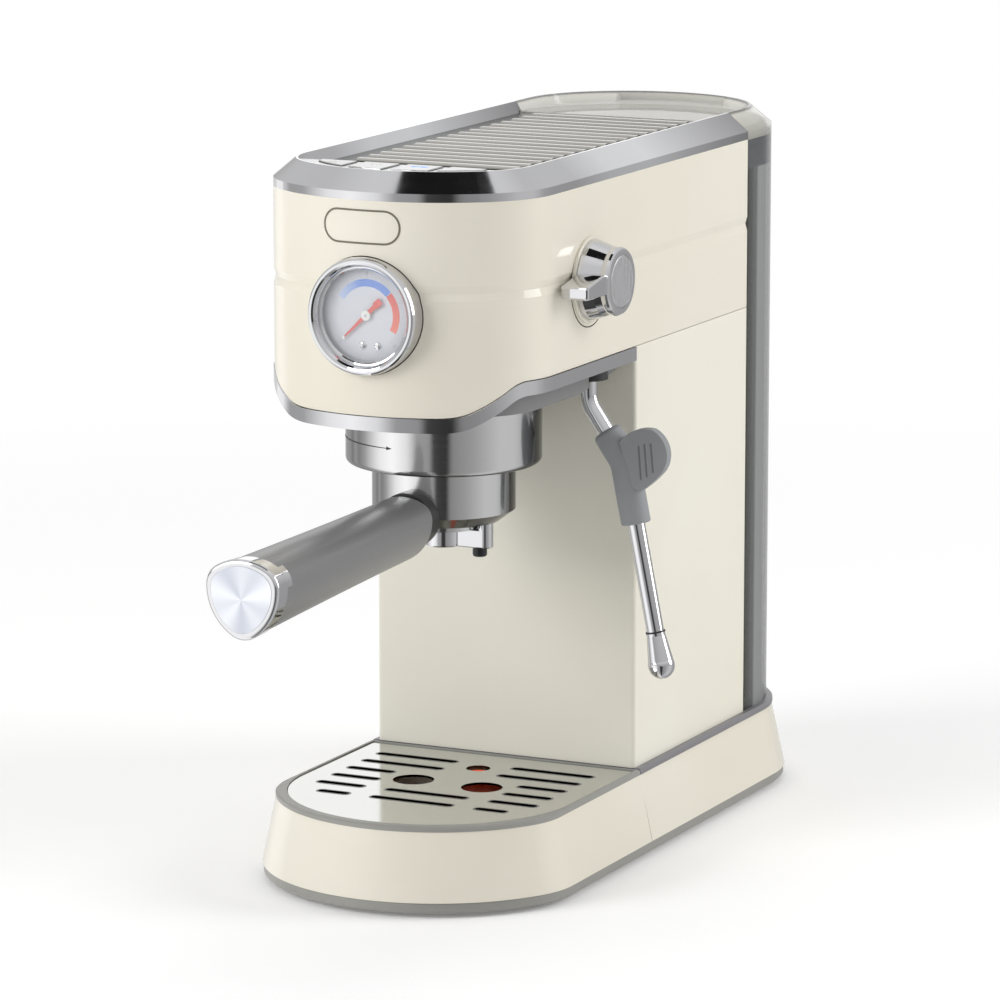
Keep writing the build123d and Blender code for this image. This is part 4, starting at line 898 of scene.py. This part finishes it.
sign = {"line": 0.00045, "depth": 0.00005, "size": 0.0021, "fromBack": 0.0066,
        "lit": "two_cup_button", "litWidth": 1.5, "sway": 0.25, "bends": 3.2}
signLines = {
    "power_button": [arcLine(1.0, 125, 415, 24), [(0, 0.4), (0, 1.4)]],
    "one_cup_button": [[(-1, 1), (-0.8, -0.6), (-0.4, -1), (0.4, -1), (0.8, -0.6), (1, 1)],
                       arcLine(0.5, -80, 80, 8, (0.95, 0.2))],
    "two_cup_button": [arcLine(0.75, 180, 360, 12, (-0.95, 0.4)),
                       arcLine(0.75, 180, 360, 12, (0.95, 0.4)),
                       [(-1.7, 0.4), (-0.2, 0.4)], [(0.2, 0.4), (1.7, 0.4)]],
    "steam_button": [[(x + sign["sway"] * math.sin(y * sign["bends"]), y)
                      for y in [i / 5 - 1 for i in range(11)]] for x in (-0.8, 0, 0.8)],
}


def addSigns(values):
    for node, lines in signLines.items():
        low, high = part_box(node)
        x = middleOf(low, high)[0]
        y = high[1] - values["fromBack"]

        def onButton(across, up, out):
            return x + across, y + up, high[2] + out

        lit = node == values["lit"]
        width = values["line"] * (values["litWidth"] if lit else 1)
        for i, line in enumerate(lines):
            scaled = [(s * values["size"], t * values["size"]) for s, t in line]
            rings = stripRings(scaled, width, values["depth"], onButton)
            makeSolid(f"{node}Sign{i}", rings, node,
                      "blueLight" if lit else "iconWhite")


addSigns(sign)

# Ribs on the thumb plate and the joint line above the tip of the wand.
# Each rib: its place across at the top, and its foot and top.

wand = {"ribs": ((0.0085, -0.006, 0.0085), (0.0112, -0.0045, 0.0095), (0.0141, -0.0025, 0.01)),
        "ribSlant": 0.0012, "ribSteps": 8, "ribWidth": 0.0006, "ribDepth": 0.00025,
        "plateMiddle": (0.0684, -0.0294, 0.1786), "tubeRadius": 0.0038, "lean": 0.2,
        "jointLine": 0.00035, "jointProud": 1.4, "jointSeat": 0.0001, "jointSteps": 36}


def onThumbPlate(across, up, out):
    x, y, z = wand["plateMiddle"]
    return x + across, y - out, z + up


def addRibs(values):
    steps = values["ribSteps"]
    for number, (x, foot, top) in enumerate(values["ribs"]):
        line = [(x + values["ribSlant"] * i / steps, top + (foot - top) * i / steps)
                for i in range(steps + 1)]
        rings = stripRings(line, values["ribWidth"], values["ribDepth"], onThumbPlate)
        makeSolid(f"thumbRib{number}", rings, "steam_wand", "ribGrey")


def addJointLine(values):
    low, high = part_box("steam_tube")
    tilt = math.atan(values["lean"])
    radius = values["tubeRadius"]
    along = Vector((math.sin(tilt), 0, -math.cos(tilt)))
    side = Vector((math.cos(tilt), 0, math.sin(tilt)))
    front = Vector((0, 1, 0))
    centre = Vector((high[0] - radius * math.cos(tilt), (low[1] + high[1]) / 2,
                     low[2] + radius * math.sin(tilt)))
    seat, half = values["jointSeat"], values["jointLine"]
    proud = half * values["jointProud"]
    section = ((seat, -half), (proud, -half), (proud, half), (seat, half))
    rings = []
    for i in range(values["jointSteps"]):
        turn = math.radians(360 * i / values["jointSteps"])
        outward = side * math.cos(turn) + front * math.sin(turn)
        rings.append([centre + outward * (radius + out) + along * step for out, step in section])
    makeSolid("wandJointLine", rings, "steam_wand", "darkPlastic", loop=True)


addRibs(wand)
addJointLine(wand)
print("plate, arrow, knob, rims, signs and wand details added")


# Room, lamps and camera

room = {"half": 6.0, "floor": 0.97, "lift": 0.13, "fade": (0.3, 1.1)}


def straightRays(tree, seen):
    # what the camera sees, itself or through the clear pieces
    return sums(tree, "MAXIMUM", seen.outputs["Is Camera Ray"],
                seen.outputs["Is Transmission Ray"])


def makeFloorFinish(values):
    mat = bpy.data.materials.new("paleFloor")
    mat.use_nodes = True
    tree = mat.node_tree
    shader = tree.nodes["Principled BSDF"]
    shader.inputs["Roughness"].default_value = 1.0
    shader.inputs["Specular IOR Level"].default_value = 0.0
    shader.inputs["Emission Color"].default_value = (1, 1, 1, 1)
    straight = straightRays(tree, tree.nodes.new("ShaderNodeLightPath"))
    # near the machine the floor is lit and keeps its shadow; further out it is plain white
    x, y, _ = parts(tree, objectPlace(tree))
    far = sums(tree, "MULTIPLY", shareOf(tree, reachOf(tree, x, y), values["fade"]), straight)
    lift = sums(tree, "MULTIPLY", straight, values["lift"])
    tree.links.new(mixed(tree, far, lift, 1.0), shader.inputs["Emission Strength"])
    tone = values["floor"]
    tree.links.new(blended(tree, far, (tone, tone, tone, 1), (0.0, 0.0, 0.0, 1)),
                   shader.inputs["Base Color"])
    return mat


def makeRoom(values):
    mesh = bpy.data.meshes.new("studioFloor")
    bm = bmesh.new()
    half = values["half"]
    corners = ((-half, -half, 0), (half, -half, 0), (half, half, 0), (-half, half, 0))
    bm.faces.new([bm.verts.new(corner) for corner in corners])
    bm.to_mesh(mesh)
    bm.free()
    floor = bpy.data.objects.new("studioFloor", mesh)
    bpy.context.scene.collection.objects.link(floor)
    floor.visible_glossy = False
    mesh.materials.append(makeFloorFinish(values))


makeRoom(room)

# What metal mirrors: a ring of bright and dark cards, by their turn in degrees from the front,
# and above the horizon tones by height, a bright card behind and a black one overhead.
# An edge is how far a card's border is softened.
studio = {
    "ambient": 0.42,
    "ring": ((-180, 0.6), (-150, 0.8), (-128, 0.8), (-118, 1.25), (-102, 1.25), (-93, 0.5),
             (-77, 0.54), (-55, 1.2), (-37, 1.4), (-18, 1.1), (-6, 0.48), (9, 0.42),
             (14, 0.07), (30, 0.04), (36, 0.33), (60, 0.45), (95, 0.72), (118, 0.7),
             (136, 0.5), (160, 0.42)),
    "above": ((0.0, 0.45), (0.35, 0.7), (0.5, 0.75), (0.75, 0.75), (0.9, 0.9)),
    "horizon": (-0.02, 0.02),
    "backCard": {"turns": (-175, -149), "turnEdge": 2.0, "heights": (0.04, 0.4),
                 "heightEdge": 0.03, "tone": 1.3},
    "topCard": {"x": (-0.28, 0.22), "xEdge": 0.005, "y": (-0.25, 0.27), "yEdge": 0.01,
                "over": 0.3, "tone": 0.012},
    "brightest": 1.5,
}


def toneRamp(tree, value, stops, brightest):
    # a ramp holds 0 to 1, so its tones are shares of the brightest
    greys = [(place, (*[tone / brightest] * 3, 1)) for place, tone in stops]
    return sums(tree, "MULTIPLY", colourRamp(tree, value, greys), brightest)


def between(tree, value, limits, edge):
    low, high = limits
    rise = shareOf(tree, value, (low - edge, low + edge))
    fall = mapped(tree, value, 1.0, 0.0, high - edge, high + edge)
    return sums(tree, "MULTIPLY", rise, fall)


def makeWorld(values):
    world = bpy.data.worlds.new("studio")
    bpy.context.scene.world = world
    world.use_nodes = True
    tree = world.node_tree
    x, y, z = parts(tree, tree.nodes.new("ShaderNodeTexCoord").outputs["Generated"])
    turn = sums(tree, "ARCTAN2", x, sums(tree, "MULTIPLY", y, -1))
    turn = sums(tree, "MULTIPLY", turn, 180 / math.pi)
    stops = [((place + 180) / 360, tone) for place, tone in values["ring"]]
    ring = toneRamp(tree, shareOf(tree, turn, (-180, 180)), stops, values["brightest"])
    above = toneRamp(tree, z, values["above"], values["brightest"])
    card = values["backCard"]
    behind = sums(tree, "MULTIPLY", between(tree, turn, card["turns"], card["turnEdge"]),
                  between(tree, z, card["heights"], card["heightEdge"]))
    above = mixed(tree, behind, above, card["tone"])
    card = values["topCard"]
    overhead = sums(tree, "MULTIPLY", between(tree, x, card["x"], card["xEdge"]),
                    between(tree, y, card["y"], card["yEdge"]))
    overhead = sums(tree, "MULTIPLY", overhead, sums(tree, "GREATER_THAN", z, card["over"]))
    above = mixed(tree, overhead, above, card["tone"])
    mirrored = mixed(tree, shareOf(tree, z, values["horizon"]), ring, above)
    seen = tree.nodes.new("ShaderNodeLightPath")
    level = mixed(tree, seen.outputs["Is Glossy Ray"], values["ambient"], mirrored)
    level = mixed(tree, straightRays(tree, seen), level, 1.0)
    background = tree.nodes["Background"]
    background.inputs["Color"].default_value = (1, 1, 1, 1)
    tree.links.new(level, background.inputs["Strength"])


makeWorld(studio)

lamps = {
    "keyLamp": {"place": (-1.25, -1.75, 1.05), "size": (1.2, 1.5), "power": 27},
    "sideLamp": {"place": (1.9, 0.9, 0.95), "size": (1.0, 1.6), "power": 24},
    "topLamp": {"place": (-0.2, 0.5, 2.2), "size": (1.4, 1.4), "power": 10, "hidden": True},
}
lampAim = (0, 0, 0.15)


def lookingAt(place, aim):
    return (Vector(aim) - Vector(place)).to_track_quat("-Z", "Y")


def addLamp(name, values):
    data = bpy.data.lights.new(name, "AREA")
    data.shape = "RECTANGLE"
    data.size, data.size_y = values["size"]
    data.energy = values["power"]
    lamp = bpy.data.objects.new(name, data)
    lamp.location = values["place"]
    lamp.rotation_mode = "QUATERNION"
    lamp.rotation_quaternion = lookingAt(values["place"], lampAim)
    lamp.visible_glossy = not values.get("hidden", False)
    bpy.context.scene.collection.objects.link(lamp)


for name, values in lamps.items():
    addLamp(name, values)

view = {
    "place": (0.998935, -2.093475, 0.597683),
    "aim": (-0.012049, 0.020325, 0.147849),
    "lens": 194.664,
    "sensor": 36.0,
    "clip": (0.05, 50.0),
}


def addCamera(values):
    data = bpy.data.cameras.new("camera")
    data.lens = values["lens"]
    data.sensor_width = values["sensor"]
    data.clip_start, data.clip_end = values["clip"]
    camera = bpy.data.objects.new("camera", data)
    camera.location = values["place"]
    camera.rotation_mode = "QUATERNION"
    camera.rotation_quaternion = lookingAt(values["place"], values["aim"])
    bpy.context.scene.collection.objects.link(camera)
    bpy.context.scene.camera = camera


addCamera(view)
bpy.context.scene.view_settings.view_transform = "Standard"
print("room, lamps and camera ready")
